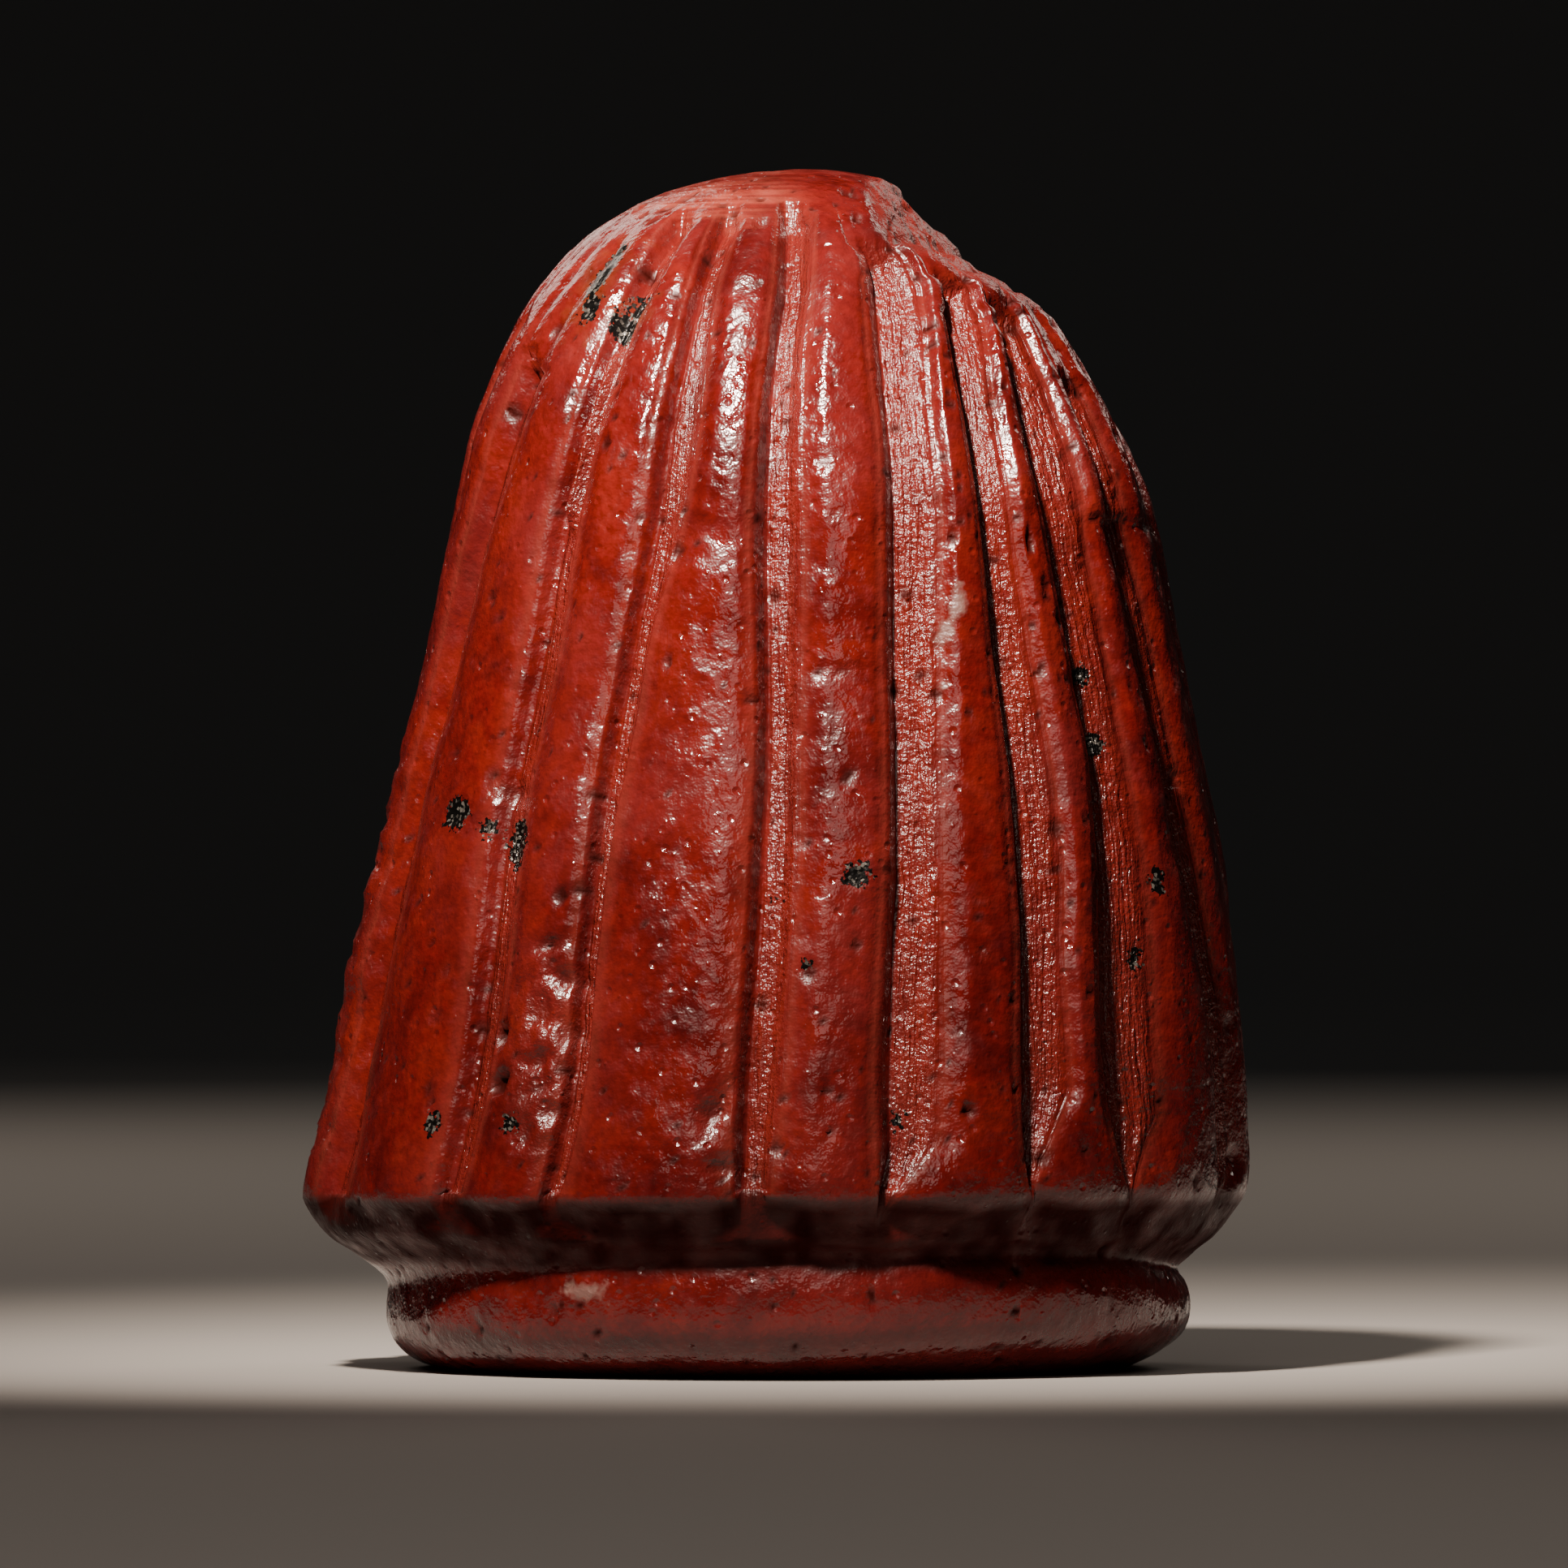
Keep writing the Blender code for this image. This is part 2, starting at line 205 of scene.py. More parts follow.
@dataclass
class GripForm:
    """The form of the stone before wear: two side profiles, a broken crown and the grooves."""

    height: float = 22.0
    axis_x: float = 0.5
    left: SideProfile = SideProfile(
        (
            (22.0, 0.0), (21.9, 1.2), (21.65, 2.3), (21.3, 3.1), (20.8, 3.95), (20.1, 4.65),
            (19.1, 5.35), (17.6, 6.0), (16.2, 6.36), (14.7, 6.7), (12.8, 7.06), (10.2, 7.74),
            (8.7, 8.09), (6.2, 8.6), (4.3, 9.03), (3.2, 9.24), (2.85, 9.1), (2.45, 8.75),
            (2.15, 8.3), (1.85, 7.85), (1.6, 7.64), (1.2, 7.66), (0.75, 7.65), (0.35, 7.42),
            (0.1, 7.0), (0.0, 6.5),
        )
    )
    right: SideProfile = SideProfile(
        (
            (22.0, 0.0), (21.9, 1.1), (21.65, 2.05), (21.3, 2.75), (20.8, 3.5), (20.1, 4.15),
            (19.5, 4.5), (18.9, 4.88), (17.6, 5.64), (16.2, 6.3), (14.7, 6.66), (12.8, 7.06),
            (10.2, 7.58), (8.7, 7.82), (6.2, 8.08), (4.3, 8.17), (3.3, 8.12), (2.8, 7.83),
            (2.4, 7.45), (2.1, 7.05), (1.85, 6.8), (1.55, 6.98), (1.15, 7.07), (0.7, 6.95),
            (0.3, 6.5), (0.0, 5.9),
        )
    )
    notch_radius: float = 2.9
    notch_z: float = 20.27
    break_faces: float = 90.0
    scars: tuple[tuple[float, float], ...] = ((1.18, 14.0), (0.48, 6.0))
    break_edge_wear: float = 0.5
    reading_heights: tuple[float, ...] = (3.5, 7.5, 12.0, 16.0, 19.0)
    waist_rise: float = 0.45
    base_reach: float = 0.5
    front: tuple[Groove, ...] = (
        Groove((-72.0, -72.0, -71.0, -67.0, -62.0), (1.5, 1.4, 1.25, 1.1, 1.1), 0.42, 18.6),
        Groove(
            (-46.3, -44.6, -44.6, -42.7, -40.6), (0.85, 1.0, 0.92, 0.87, 0.75), 0.44, 21.3,
            split=(15.2, 19.0),
        ),
        Groove((-31.1, -29.0, -27.3, -23.9, -22.6), (0.5, 0.6, 0.68, 0.87, 0.75), 0.42, 21.35),
        Groove(
            (-6.4, -5.0, -4.0, -4.6, -3.6), (0.8, 1.0, 0.98, 0.95, 0.88), 0.58, 21.45, lean=0.2
        ),
        Groove(
            (12.4, 13.8, 15.9, 17.6, 20.3), (1.1, 1.25, 1.16, 1.15, 1.24), 0.52, 20.75,
            low_end=2.7, taper=1.6, lean=0.5,
        ),
        Groove(
            (33.5, 32.6, 33.5, 32.8, 37.4), (1.15, 1.18, 1.0, 0.86, 1.08), 0.48, 20.2,
            low_end=3.3, taper=1.9, lean=0.8,
        ),
        Groove(
            (49.5, 47.3, 48.8, 48.1, 53.0), (1.35, 1.7, 1.2, 1.42, 1.65), 0.48, 19.7,
            low_end=3.0, taper=1.7, lean=0.9,
        ),
        Groove(
            (73.5, 69.0, 64.5, 64.0, 67.5), (1.1, 1.1, 1.1, 1.1, 1.0), 0.45, 18.4,
            low_end=2.7, taper=1.0, lean=0.9,
        ),
    )
    back_count: int = 10
    back: Groove = Groove((), (1.15, 1.1, 1.05, 1.0, 1.0), 0.45, 20.0, 2.5, 1.0, 0.6)
    top_end: float = 0.2
    top_taper: float = 0.3
    end_share: float = 0.75
    low_end: float = 0.7
    gap_share: float = 0.42
    knee: float = 3.9
    knee_run: float = 1.4

    def grooves(self) -> list[Groove]:
        """Every groove, the ten unseen ones spread evenly round the back.

        Returns:
            The grooves, in order of azimuth.
        """
        result = list(self.front)
        last, first = self.front[-1].azimuths, self.front[0].azimuths
        for number in range(1, self.back_count + 1):
            share = number / (self.back_count + 1)
            azimuths = tuple(a + (b + 360.0 - a) * share for a, b in zip(last, first))
            top = self.back.top + 0.5 * math.sin(2.4 * number)
            result.append(replace(self.back, azimuths=azimuths, top=top))
        return result

    def read_between(self, values: tuple[float, ...], z: np.ndarray) -> np.ndarray:
        """Values on the smooth curve through the ones given at the reading heights.

        Args:
            values: The values at the reading heights.
            z: Heights in millimetres.

        Returns:
            The values at those heights.
        """
        heights = self.reading_heights
        z = np.clip(z, heights[0] - 0.5, heights[-1] + 0.8)
        total = np.zeros_like(z)
        for height, value in zip(heights, values):
            weight = np.ones_like(z)
            for other in heights:
                if other != height:
                    weight = weight * (z - other) / (height - other)
            total += value * weight
        return total

    def whole_radius(self, azimuth: np.ndarray, z: np.ndarray) -> np.ndarray:
        """Radius of the unbroken form about the axis.

        Towards the front the waist lies higher and the base reaches further out.

        Args:
            azimuth: Azimuths in degrees.
            z: Heights in millimetres.

        Returns:
            Radii in millimetres.
        """
        turn = np.radians(azimuth)
        forward = smooth_step(np.cos(turn))
        near_waist = smooth_step((z - 0.3) / 1.2) * smooth_step((3.6 - z) / 1.0)
        height = z - self.waist_rise * forward * near_waist
        left, right = self.left.radius(height), self.right.radius(height)
        whole = 0.5 * (left + right) + 0.5 * (right - left) * np.sin(turn)
        on_base = smooth_step((2.95 - z) / 0.5) * smooth_step((z + 0.3) / 1.3)
        return whole + self.base_reach * forward * on_base

    def break_radius(self, azimuth: np.ndarray, z: np.ndarray) -> np.ndarray:
        """Radius at which the crown's break meets a level line going out from the axis.

        Args:
            azimuth: Azimuths in degrees.
            z: Heights in millimetres.

        Returns:
            Radii in millimetres, very large where the line misses the break.
        """
        off = np.abs((azimuth - self.break_faces + 180.0) % 360.0 - 180.0)
        reach = np.full(np.broadcast(azimuth, z).shape, 0.3)
        for fall, turned in self.scars:
            towards = np.cos(np.radians(off - turned)) / math.cos(math.radians(turned))
            distance = (self.notch_radius + (self.notch_z - z) / fall) / np.maximum(towards, 0.05)
            reach = np.maximum(reach, np.where(towards < 0.05, UNBROKEN, distance))
        return reach

    def radius(self, azimuth: np.ndarray, z: np.ndarray) -> np.ndarray:
        """Radius of the broken form, without its grooves.

        Args:
            azimuth: Azimuths in degrees.
            z: Heights in millimetres.

        Returns:
            Radii in millimetres.
        """
        whole, scar = self.whole_radius(azimuth, z), self.break_radius(azimuth, z)
        near_edge = np.clip(1.0 - np.abs(whole - scar) / self.break_edge_wear, 0.0, None)
        return np.minimum(whole, scar) - 0.25 * self.break_edge_wear * near_edge**2


@dataclass
class SealFace:
    """The flat face and its device: a ring line, a cross of two strokes and four drilled dots."""

    centre_x: float = 0.2
    line_radius: float = 5.0
    line_width: float = 0.36
    line_depth: float = 0.32
    stroke_length: float = 7.0
    stroke_width: float = 0.62
    across_depth: float = 0.44
    upright_depth: float = 0.5
    dot_radius: float = 0.68
    dot_place: float = 2.05
    dot_depth: float = 0.5
    rings: tuple[float, ...] = (5.72, 5.4, 5.18, 5.09, 5.0, 4.91, 4.82, 4.66)
    inner_ring: float = 4.5
    last_ring: float = 0.12
    ring_step: float = 0.14

    def ring_radii(self) -> list[float]:
        """Radii of the mesh's rings in the face, from the land to near the middle."""
        inner = np.arange(self.inner_ring, self.last_ring, -self.ring_step)
        return list(self.rings) + [float(radius) for radius in inner]

    def stroke(self, along: np.ndarray, across: np.ndarray, full: float) -> np.ndarray:
        """Depth of one wheel-cut stroke.

        Args:
            along: Distance along the stroke from its middle, in millimetres.
            across: Distance from its centre line, in millimetres.
            full: Depth at its middle, in millimetres.

        Returns:
            Depths in millimetres, 0 outside the stroke.
        """
        place = along / (0.5 * self.stroke_length)
        bow = np.sqrt(np.clip(1.0 - 0.86 * place**2, 0.0, 1.0))
        half = 0.5 * self.stroke_width * (0.35 + 0.65 * bow)
        wall = np.clip((half - np.abs(across)) / (0.6 * half), 0.0, 1.0)
        return np.where(np.abs(place) <= 1.0, full * bow * wall, 0.0)

    def depth(self, x: np.ndarray, y: np.ndarray) -> np.ndarray:
        """Depth of the device below the face.

        Args:
            x: Distance right of the face's middle, in millimetres.
            y: Distance back from it, in millimetres.

        Returns:
            Depths in millimetres.
        """
        line = 1.0 - np.abs(np.hypot(x, y) - self.line_radius) / (0.5 * self.line_width)
        result = self.line_depth * np.clip(line, 0.0, 1.0)
        result = np.maximum(result, self.stroke(x, y, self.across_depth))
        result = np.maximum(result, self.stroke(y, x, self.upright_depth))
        ball = (self.dot_radius**2 + self.dot_depth**2) / (2.0 * self.dot_depth)
        away = np.hypot(np.abs(x) - self.dot_place, np.abs(y) - self.dot_place)
        cap = np.sqrt(np.clip(ball**2 - away**2, 0.0, None)) - (ball - self.dot_depth)
        return np.maximum(result, np.clip(cap, 0.0, None))


def marks_of(kind: Kind, *rows: tuple[float, ...]) -> tuple[Mark, ...]:
    """Marks of one kind.

    Args:
        kind: The kind.
        rows: The numbers of each mark, in the order of Mark's fields.

    Returns:
        The marks, in the same order.
    """
    return tuple(Mark(kind, *row) for row in rows)


FRONT_MARKS: tuple[Mark, ...] = (
    *marks_of(
        Kind.CHIP,
        (-4.1, 7.88, 0.55, 0.17, 0.16, 18.0), (-3.9, 7.2, 0.42, 0.24, 0.24, -10.0),
        (-4.25, 6.65, 0.45, 0.36, 0.13, 20.0), (-3.85, 6.35, 0.3, 0.34, 0.1),
        (-4.29, 5.8, 0.36, 0.2, 0.15, 25.0), (-4.4, 5.2, 0.42, 0.16, 0.12, 15.0),
        (-4.1, 4.85, 0.3, 0.16, 0.1, -20.0), (-4.55, 4.35, 0.3, 0.16, 0.1, 30.0),
        (-4.75, 7.05, 0.2, 0.26, 0.1), (-1.06, 4.93, 0.3, 0.72, 0.24, -24.0),
        (-1.0, 3.85, 0.3, 0.26, 0.18), (-5.12, 10.72, 0.34, 0.3, 0.12),
        (-6.2, 6.45, 0.3, 0.2, 0.08), (-6.0, 7.4, 0.2, 0.3, 0.07),
        (-0.3, 20.98, 0.4, 0.15, 0.14, 27.0), (-1.25, 20.6, 0.12, 0.3, 0.08, -30.0),
        (2.98, 13.27, 0.16, 0.2, 0.08), (-4.58, 18.61, 0.26, 0.1, 0.34),
        (-3.99, 1.25, 0.16, 0.2, 0.14), (-5.4, 0.88, 0.2, 0.16, 0.12),
        (3.67, 8.64, 0.13, 0.12, 0.07), (3.72, 7.78, 0.2, 0.12, 0.05),
        (6.25, 15.63, 0.3, 0.1, 0.1), (7.45, 10.85, 0.3, 0.16, 0.12), (8.0, 6.85, 0.3, 0.2, 0.12),
        (1.2, 12.8, 0.34, 0.16, 0.05, 15.0), (1.1, 11.6, 0.3, 0.12, 0.05, 30.0),
        (0.9, 16.6, 0.22, 0.14, 0.07), (1.0, 15.6, 0.2, 0.16, 0.06),
        (-5.3, 17.85, 0.3, 0.26, 0.18), (-7.35, 9.5, 0.3, 0.3, 0.16), (-8.5, 4.3, 0.3, 0.26, 0.16),
        (8.35, 6.3, 0.26, 0.24, 0.14), (8.5, 3.9, 0.3, 0.2, 0.14),
    ),
    *marks_of(
        Kind.PIT,
        (-5.04, 6.27, 0.2, 0.2, 0.24), (-5.02, 5.4, 0.25, 0.22, 0.28),
        (1.34, 21.5, 0.13, 0.1, 0.16), (1.48, 21.0, 0.14, 0.12, 0.14),
        (-5.2, 14.1, 0.12, 0.12, 0.1), (-1.97, 12.9, 0.09, 0.12, 0.1),
        (-0.5, 12.25, 0.14, 0.1, 0.14), (3.2, 15.2, 0.09, 0.16, 0.1), (0.94, 5.3, 0.1, 0.1, 0.1),
        (0.95, 4.55, 0.08, 0.08, 0.08), (-6.3, 5.0, 0.1, 0.14, 0.1), (-6.25, 7.9, 0.09, 0.09, 0.1),
        (4.35, 5.2, 0.1, 0.1, 0.1), (-0.98, 3.6, 0.1, 0.12, 0.14), (4.6, 15.1, 0.1, 0.3, 0.1),
    ),
    *marks_of(
        Kind.RAISED,
        (-2.51, 21.27, 0.14, 0.1, 0.08), (-4.19, 4.55, 0.13, 0.1, 0.06),
        (-4.88, 3.99, 0.12, 0.12, 0.06), (-4.06, 3.54, 0.14, 0.1, 0.05),
        (-1.3, 4.12, 0.16, 0.14, 0.07), (-6.25, 5.91, 0.15, 0.14, 0.07),
        (-4.3, 6.2, 0.14, 0.16, 0.06), (-2.2, 4.7, 0.12, 0.1, 0.04),
        (-1.95, 4.35, 0.14, 0.12, 0.05),
    ),
    *marks_of(
        Kind.IRON,
        (-3.16, 20.06, 0.36, 0.95, 0.05, 6.0), (-3.39, 19.35, 0.28, 0.32, 0.04),
        (-2.6, 19.62, 0.4, 0.3, 0.05, 20.0), (-2.9, 19.15, 0.34, 0.36, 0.04, 30.0),
        (-5.8, 10.16, 0.44, 0.34, 0.05), (-4.9, 9.76, 0.44, 0.56, 0.06, 10.0),
        (-5.35, 9.9, 0.2, 0.2, 0.03), (1.42, 9.07, 0.3, 0.26, 0.04), (-0.06, 8.7, 0.1, 0.07, 0.02),
        (0.55, 7.46, 0.14, 0.14, 0.03), (5.8, 12.7, 0.24, 0.22, 0.03),
        (5.98, 11.58, 0.4, 0.26, 0.04), (6.97, 9.01, 0.2, 0.28, 0.02),
        (6.71, 7.6, 0.2, 0.28, 0.03), (2.28, 4.69, 0.18, 0.2, 0.02),
        (-6.27, 4.67, 0.22, 0.28, 0.03), (-4.84, 4.67, 0.22, 0.2, 0.03),
    ),
    *marks_of(
        Kind.RUST,
        (-3.3, 19.9, 0.8, 1.3),
        (-2.7, 19.4, 0.6, 0.6),
    ),
    *marks_of(
        Kind.QUARTZ,
        (3.3, 14.0, 0.2, 0.4, 0.0, -6.0), (3.12, 13.5, 0.2, 0.2), (3.05, 12.55, 0.12, 0.12),
        (-2.51, 21.27, 0.16, 0.12), (-3.4, 1.58, 0.5, 0.2), (1.31, 9.24, 0.09, 0.08),
    ),
)


@dataclass
class SealStone:
    """The whole stone as one mesh that follows the grooves, with wear, chips and colour masks.

    Lengths are in millimetres. The columns run along the grooves, closer together in front.
    """

    form: GripForm = field(default_factory=GripForm)
    face: SealFace = field(default_factory=SealFace)
    marks: tuple[Mark, ...] = FRONT_MARKS
    name: str = "seal_stone"
    node: str = "seal"
    front_groove_columns: int = 14
    front_lobe_columns: int = 21
    back_groove_columns: int = 6
    back_lobe_columns: int = 8
    lobe_round: float = 0.06
    soft_left: float = 0.1
    soft_right: float = 0.05
    row_step: float = 0.125
    dense_top: float = 21.4
    cap_steps: int = 26
    pit_count: int = 620
    # Depths of the wear in millimetres.
    swell: float = 0.045
    fine_swell: float = 0.016
    floor_rough: float = 0.026
    break_rough: float = 0.11
    break_fine: float = 0.07
    rim_wear: float = 0.035
    edge_rough: float = 0.075
    flake_crease: float = 0.09
    # Places of the wear and of the painted shade, in millimetres, heights from the seal face.
    handled_from: float = 20.95
    underside: tuple[float, float] = (1.85, 3.35)
    flake_middle: tuple[float, float] = (-4.35, 5.9)
    flake_half: tuple[float, float] = (0.7, 2.3)
    edge_band: tuple[float, float] = (3.4, 13.0)
    # Cross steps: place to the side, half length, height and drop.
    stages: tuple[tuple[float, float, float, float], ...] = (
        (-0.9, 0.75, 15.54, 0.06),
        (6.25, 0.5, 15.6, 0.09),
        (1.3, 0.6, 12.9, 0.04),
    )
    smallest_pit: float = 0.07
    pit_spread: float = 0.13
    seed: int = 20

    def column_plan(self) -> tuple[np.ndarray, np.ndarray, np.ndarray]:
        """Says where each column of the mesh runs.

        Returns:
            For each column: its groove, whether it runs in the groove, and its share there.
        """
        owner, in_groove, share = [], [], []
        for number in range(len(self.form.grooves())):
            front = number < len(self.form.front)
            count = self.front_groove_columns if front else self.back_groove_columns
            lobes = self.front_lobe_columns if front else self.back_lobe_columns
            for column in range(count):
                owner.append(number)
                in_groove.append(True)
                share.append(-1.0 + 2.0 * column / count)
            for column in range(lobes):
                owner.append(number)
                in_groove.append(False)
                share.append(column / lobes)
        return np.array(owner), np.array(in_groove), np.array(share)

    def row_heights(self) -> np.ndarray:
        """Heights of the side's rings, evenly spaced along its curve.

        Returns:
            Heights in millimetres, lowest first.
        """
        fine = np.linspace(0.0, self.dense_top, 6000)
        middle = 0.5 * (self.form.left.radius(fine) + self.form.right.radius(fine))
        length = np.concatenate(([0.0], np.cumsum(np.hypot(np.diff(fine), np.diff(middle)))))
        count = int(round(length[-1] / self.row_step))
        return np.interp(np.linspace(0.0, length[-1], count + 1), length, fine)

    def cap_heights(self) -> np.ndarray:
        """Heights of the cap's rings, so that their radii shrink evenly towards the crown.

        Returns:
            Heights in millimetres, lowest first.
        """
        fine = self.form.height - np.linspace(0.0, 1.0, 4000)[::-1] ** 2 * (
            self.form.height - self.dense_top
        )
        middle = 0.5 * (self.form.left.radius(fine) + self.form.right.radius(fine))
        start = middle[0]
        wanted = start * (1.0 - np.arange(1, self.cap_steps) / self.cap_steps)
        return np.interp(-wanted, -middle, fine)

    def wander(self, number: int, z: np.ndarray, feature: float) -> np.ndarray:
        """A slow seeded drift along one groove.

        Args:
            number: The groove's place in the row of grooves.
            z: Heights in millimetres.
            feature: Distance over which it changes, in millimetres.

        Returns:
            Values from -1 to 1.
        """
        noise = StoneNoise(self.seed + 3)
        points = np.stack([z, np.full_like(z, 5.0 * number), np.zeros_like(z)], axis=-1)
        return noise.at(points, feature)

    def section(self, share: np.ndarray, lean: np.ndarray) -> np.ndarray:
        """Depth across a groove: a steep left wall, then a floor, flat or rising to the right.

        Args:
            share: Place across the groove, from -1 at its left rim to 1 at its right.
            lean: How far the floor leans, from 0 to 1.

        Returns:
            Share of the full depth.
        """
        wall = smooth_step((share + 1.0) / 0.68)
        place = np.clip((share + 0.4) / 1.4, 0.0, 1.0)
        flat = (1.0 - 0.25 * place) * (1.0 - smooth_step((place - 0.5) / 0.5))
        leaning = 1.0 - place**1.15
        return wall * (flat + (leaning - flat) * lean)

    def edges(
        self, groove: Groove, number: int, z: np.ndarray
    ) -> tuple[np.ndarray, np.ndarray, np.ndarray]:
        """Where a groove runs, how wide it is there and how deep.

        Its left edge runs straight on to both ends, and its right edge slants in to meet it.

        Args:
            groove: The groove.
            number: Its place in the row of grooves.
            z: Heights in millimetres.

        Returns:
            Azimuths of its middle and half widths, both in degrees, and depths in millimetres.
        """
        middle = self.form.read_between(groove.azimuths, z)
        radius = np.maximum(self.form.radius(middle, z), 0.4)
        middle = middle + np.degrees(0.06 * self.wander(number, z, 2.6) / radius)
        width = self.form.read_between(groove.widths, z)
        width = width * (1.0 + 0.14 * self.wander(number + 30, z, 1.9))
        half = np.degrees(0.5 * width / radius)
        kept = np.clip((groove.top - z) / self.form.top_taper, self.form.end_share, 1.0)
        if groove.taper:
            kept = np.minimum(kept, np.clip((z - groove.low_end) / groove.taper, 0.12, 1.0))
        depth = self.cut_depth(groove, middle, z, number)
        return middle - half * (1.0 - kept), half * kept, depth

    def lay_out(self, z: np.ndarray) -> dict[str, np.ndarray]:
        """Azimuth, groove depth and masks at every point of the grid.

        Args:
            z: Ring heights in millimetres.

        Returns:
            Arrays of rings by columns: azimuth, cut, floor, rim, across and owner.
        """
        grooves = self.form.grooves()
        owner, in_groove, share = self.column_plan()
        count = len(grooves)
        measured = [self.edges(groove, number, z) for number, groove in enumerate(grooves)]
        middles, halves, depths = (np.array(part) for part in zip(*measured))
        gaps = (np.roll(middles, -1, axis=0) - middles) % 360.0
        room = self.form.gap_share * np.minimum(gaps, np.roll(gaps, 1, axis=0))
        halves = np.minimum(halves, room)
        # Every column follows its groove or its lobe, so that each rim is a clean line of edges.
        here = middles[owner].T
        half = halves[owner].T
        start = here + half
        following = (owner + 1) % count
        end = here + gaps[owner].T - halves[following].T
        lobe_place = start + (end - start) * share
        azimuth = np.where(in_groove, here + half * share, lobe_place)
        lean = np.array([groove.lean for groove in grooves])[owner]
        cut = np.where(in_groove, self.section(share, lean), 0.0) * depths[owner].T
        # Where two cuts lie side by side, a low ridge stays between them.
        for number, groove in enumerate(grooves):
            if groove.split:
                low, high = groove.split
                band = smooth_step((z - low) / 0.6) * smooth_step((high - z) / 0.6)
                ridge = np.exp(-(((share - 0.05) / 0.2) ** 2)) * (owner == number) * in_groove
                cut = cut * (1.0 - 0.75 * band[:, None] * ridge[None, :])
        depth_share = depths[owner].T / np.array([groove.depth for groove in grooves])[owner]
        floor_mask = smooth_step((share + 0.5) / 0.25) * smooth_step((0.95 - share) / 0.35)
        floor = np.where(in_groove, floor_mask, 0.0) * depth_share
        lobe_edge = np.minimum(share, 1.0 - share)
        near_rim = np.where(in_groove, np.minimum(1.0 + share, 1.0 - share) * 0.5, lobe_edge)
        rim = np.exp(-((near_rim / 0.07) ** 2)) * depth_share
        radius = self.form.radius(azimuth, np.broadcast_to(z[:, None], azimuth.shape))
        across = np.where(in_groove, share, 0.0) * np.radians(half) * radius
        side = smooth_step((21.3 - z) / 0.9) * smooth_step((z - self.form.back.low_end) / 0.8)
        drop = self.softening(in_groove, share) * side[:, None]
        return {
            "azimuth": azimuth,
            "cut": cut + drop,
            "floor": floor,
            "rim": rim,
            "across": across,
            "owner": np.broadcast_to(owner, azimuth.shape).astype(float),
        }

    def softening(self, in_groove: np.ndarray, share: np.ndarray) -> np.ndarray:
        """How far handling has rounded the lobes, most at their left rims.

        Args:
            in_groove: Whether each column runs in a groove.
            share: Its share there, as column_plan gives it.

        Returns:
            One depth in millimetres for each column.
        """
        soft_left = self.soft_left * (1.0 - smooth_step(share / 0.34))
        soft_right = self.soft_right * (1.0 - smooth_step((1.0 - share) / 0.16))
        rounding = self.lobe_round * (2.0 * share - 1.0) ** 2
        # Within a groove the depth runs on smoothly from one lobe's rim to the next one's.
        joins = self.lobe_round + self.soft_left * smooth_step((share + 0.1) / 1.1)
        joins = joins + self.soft_right * (1.0 - smooth_step((share + 1.0) / 0.3))
        return np.where(in_groove, joins, soft_left + soft_right + rounding)

    def cut_depth(
        self, groove: Groove, azimuth: np.ndarray, z: np.ndarray, number: int
    ) -> np.ndarray:
        """Depth of a groove along its run.

        The cut goes straight on where the grip turns under, so it runs out there by itself.

        Args:
            groove: The groove.
            azimuth: Its azimuths in degrees.
            z: Heights in millimetres.
            number: Its place in the row of grooves.

        Returns:
            Depths in millimetres.
        """
        knee, run = self.form.knee, self.form.knee_run
        depth = groove.depth * (1.0 + 0.12 * self.wander(number + 60, z, 2.2))
        side = self.form.radius(azimuth, z)
        at_knee = np.interp(knee, z, side)
        above = np.interp(knee + run, z, side)
        straight = at_knee + (at_knee - above) / run * (knee - z)
        run_out = np.where(z < knee, np.clip(straight - side, 0.0, None), 0.0)
        fade_top = smooth_step((groove.top - z) / (self.form.top_end * (1.0 + 2.0 * groove.lean)))
        fade_low = smooth_step((z - groove.low_end + 0.25) / self.form.low_end)
        return np.clip(depth - run_out, 0.0, None) * fade_top * fade_low

    def positions(self, azimuth: np.ndarray, z: np.ndarray) -> np.ndarray:
        """Points of the broken, uncut form.

        Args:
            azimuth: Azimuths in degrees, rings by columns.
            z: Ring heights in millimetres.

        Returns:
            Points in millimetres.
        """
        height = np.broadcast_to(z[:, None], azimuth.shape)
        radius = self.form.radius(azimuth, height)
        turn = np.radians(azimuth)
        x = self.form.axis_x + radius * np.sin(turn)
        return np.stack([x, -radius * np.cos(turn), height], axis=-1)

    def normals(self, points: np.ndarray) -> np.ndarray:
        """Outward directions at the points of a grid.

        Args:
            points: Points in millimetres, rings by columns.

        Returns:
            Unit vectors.
        """
        beside = np.roll(points, -1, axis=1) - np.roll(points, 1, axis=1)
        upward = np.gradient(points, axis=0)
        result = np.cross(beside, upward)
        return result / np.maximum(np.linalg.norm(result, axis=-1, keepdims=True), 1e-9)

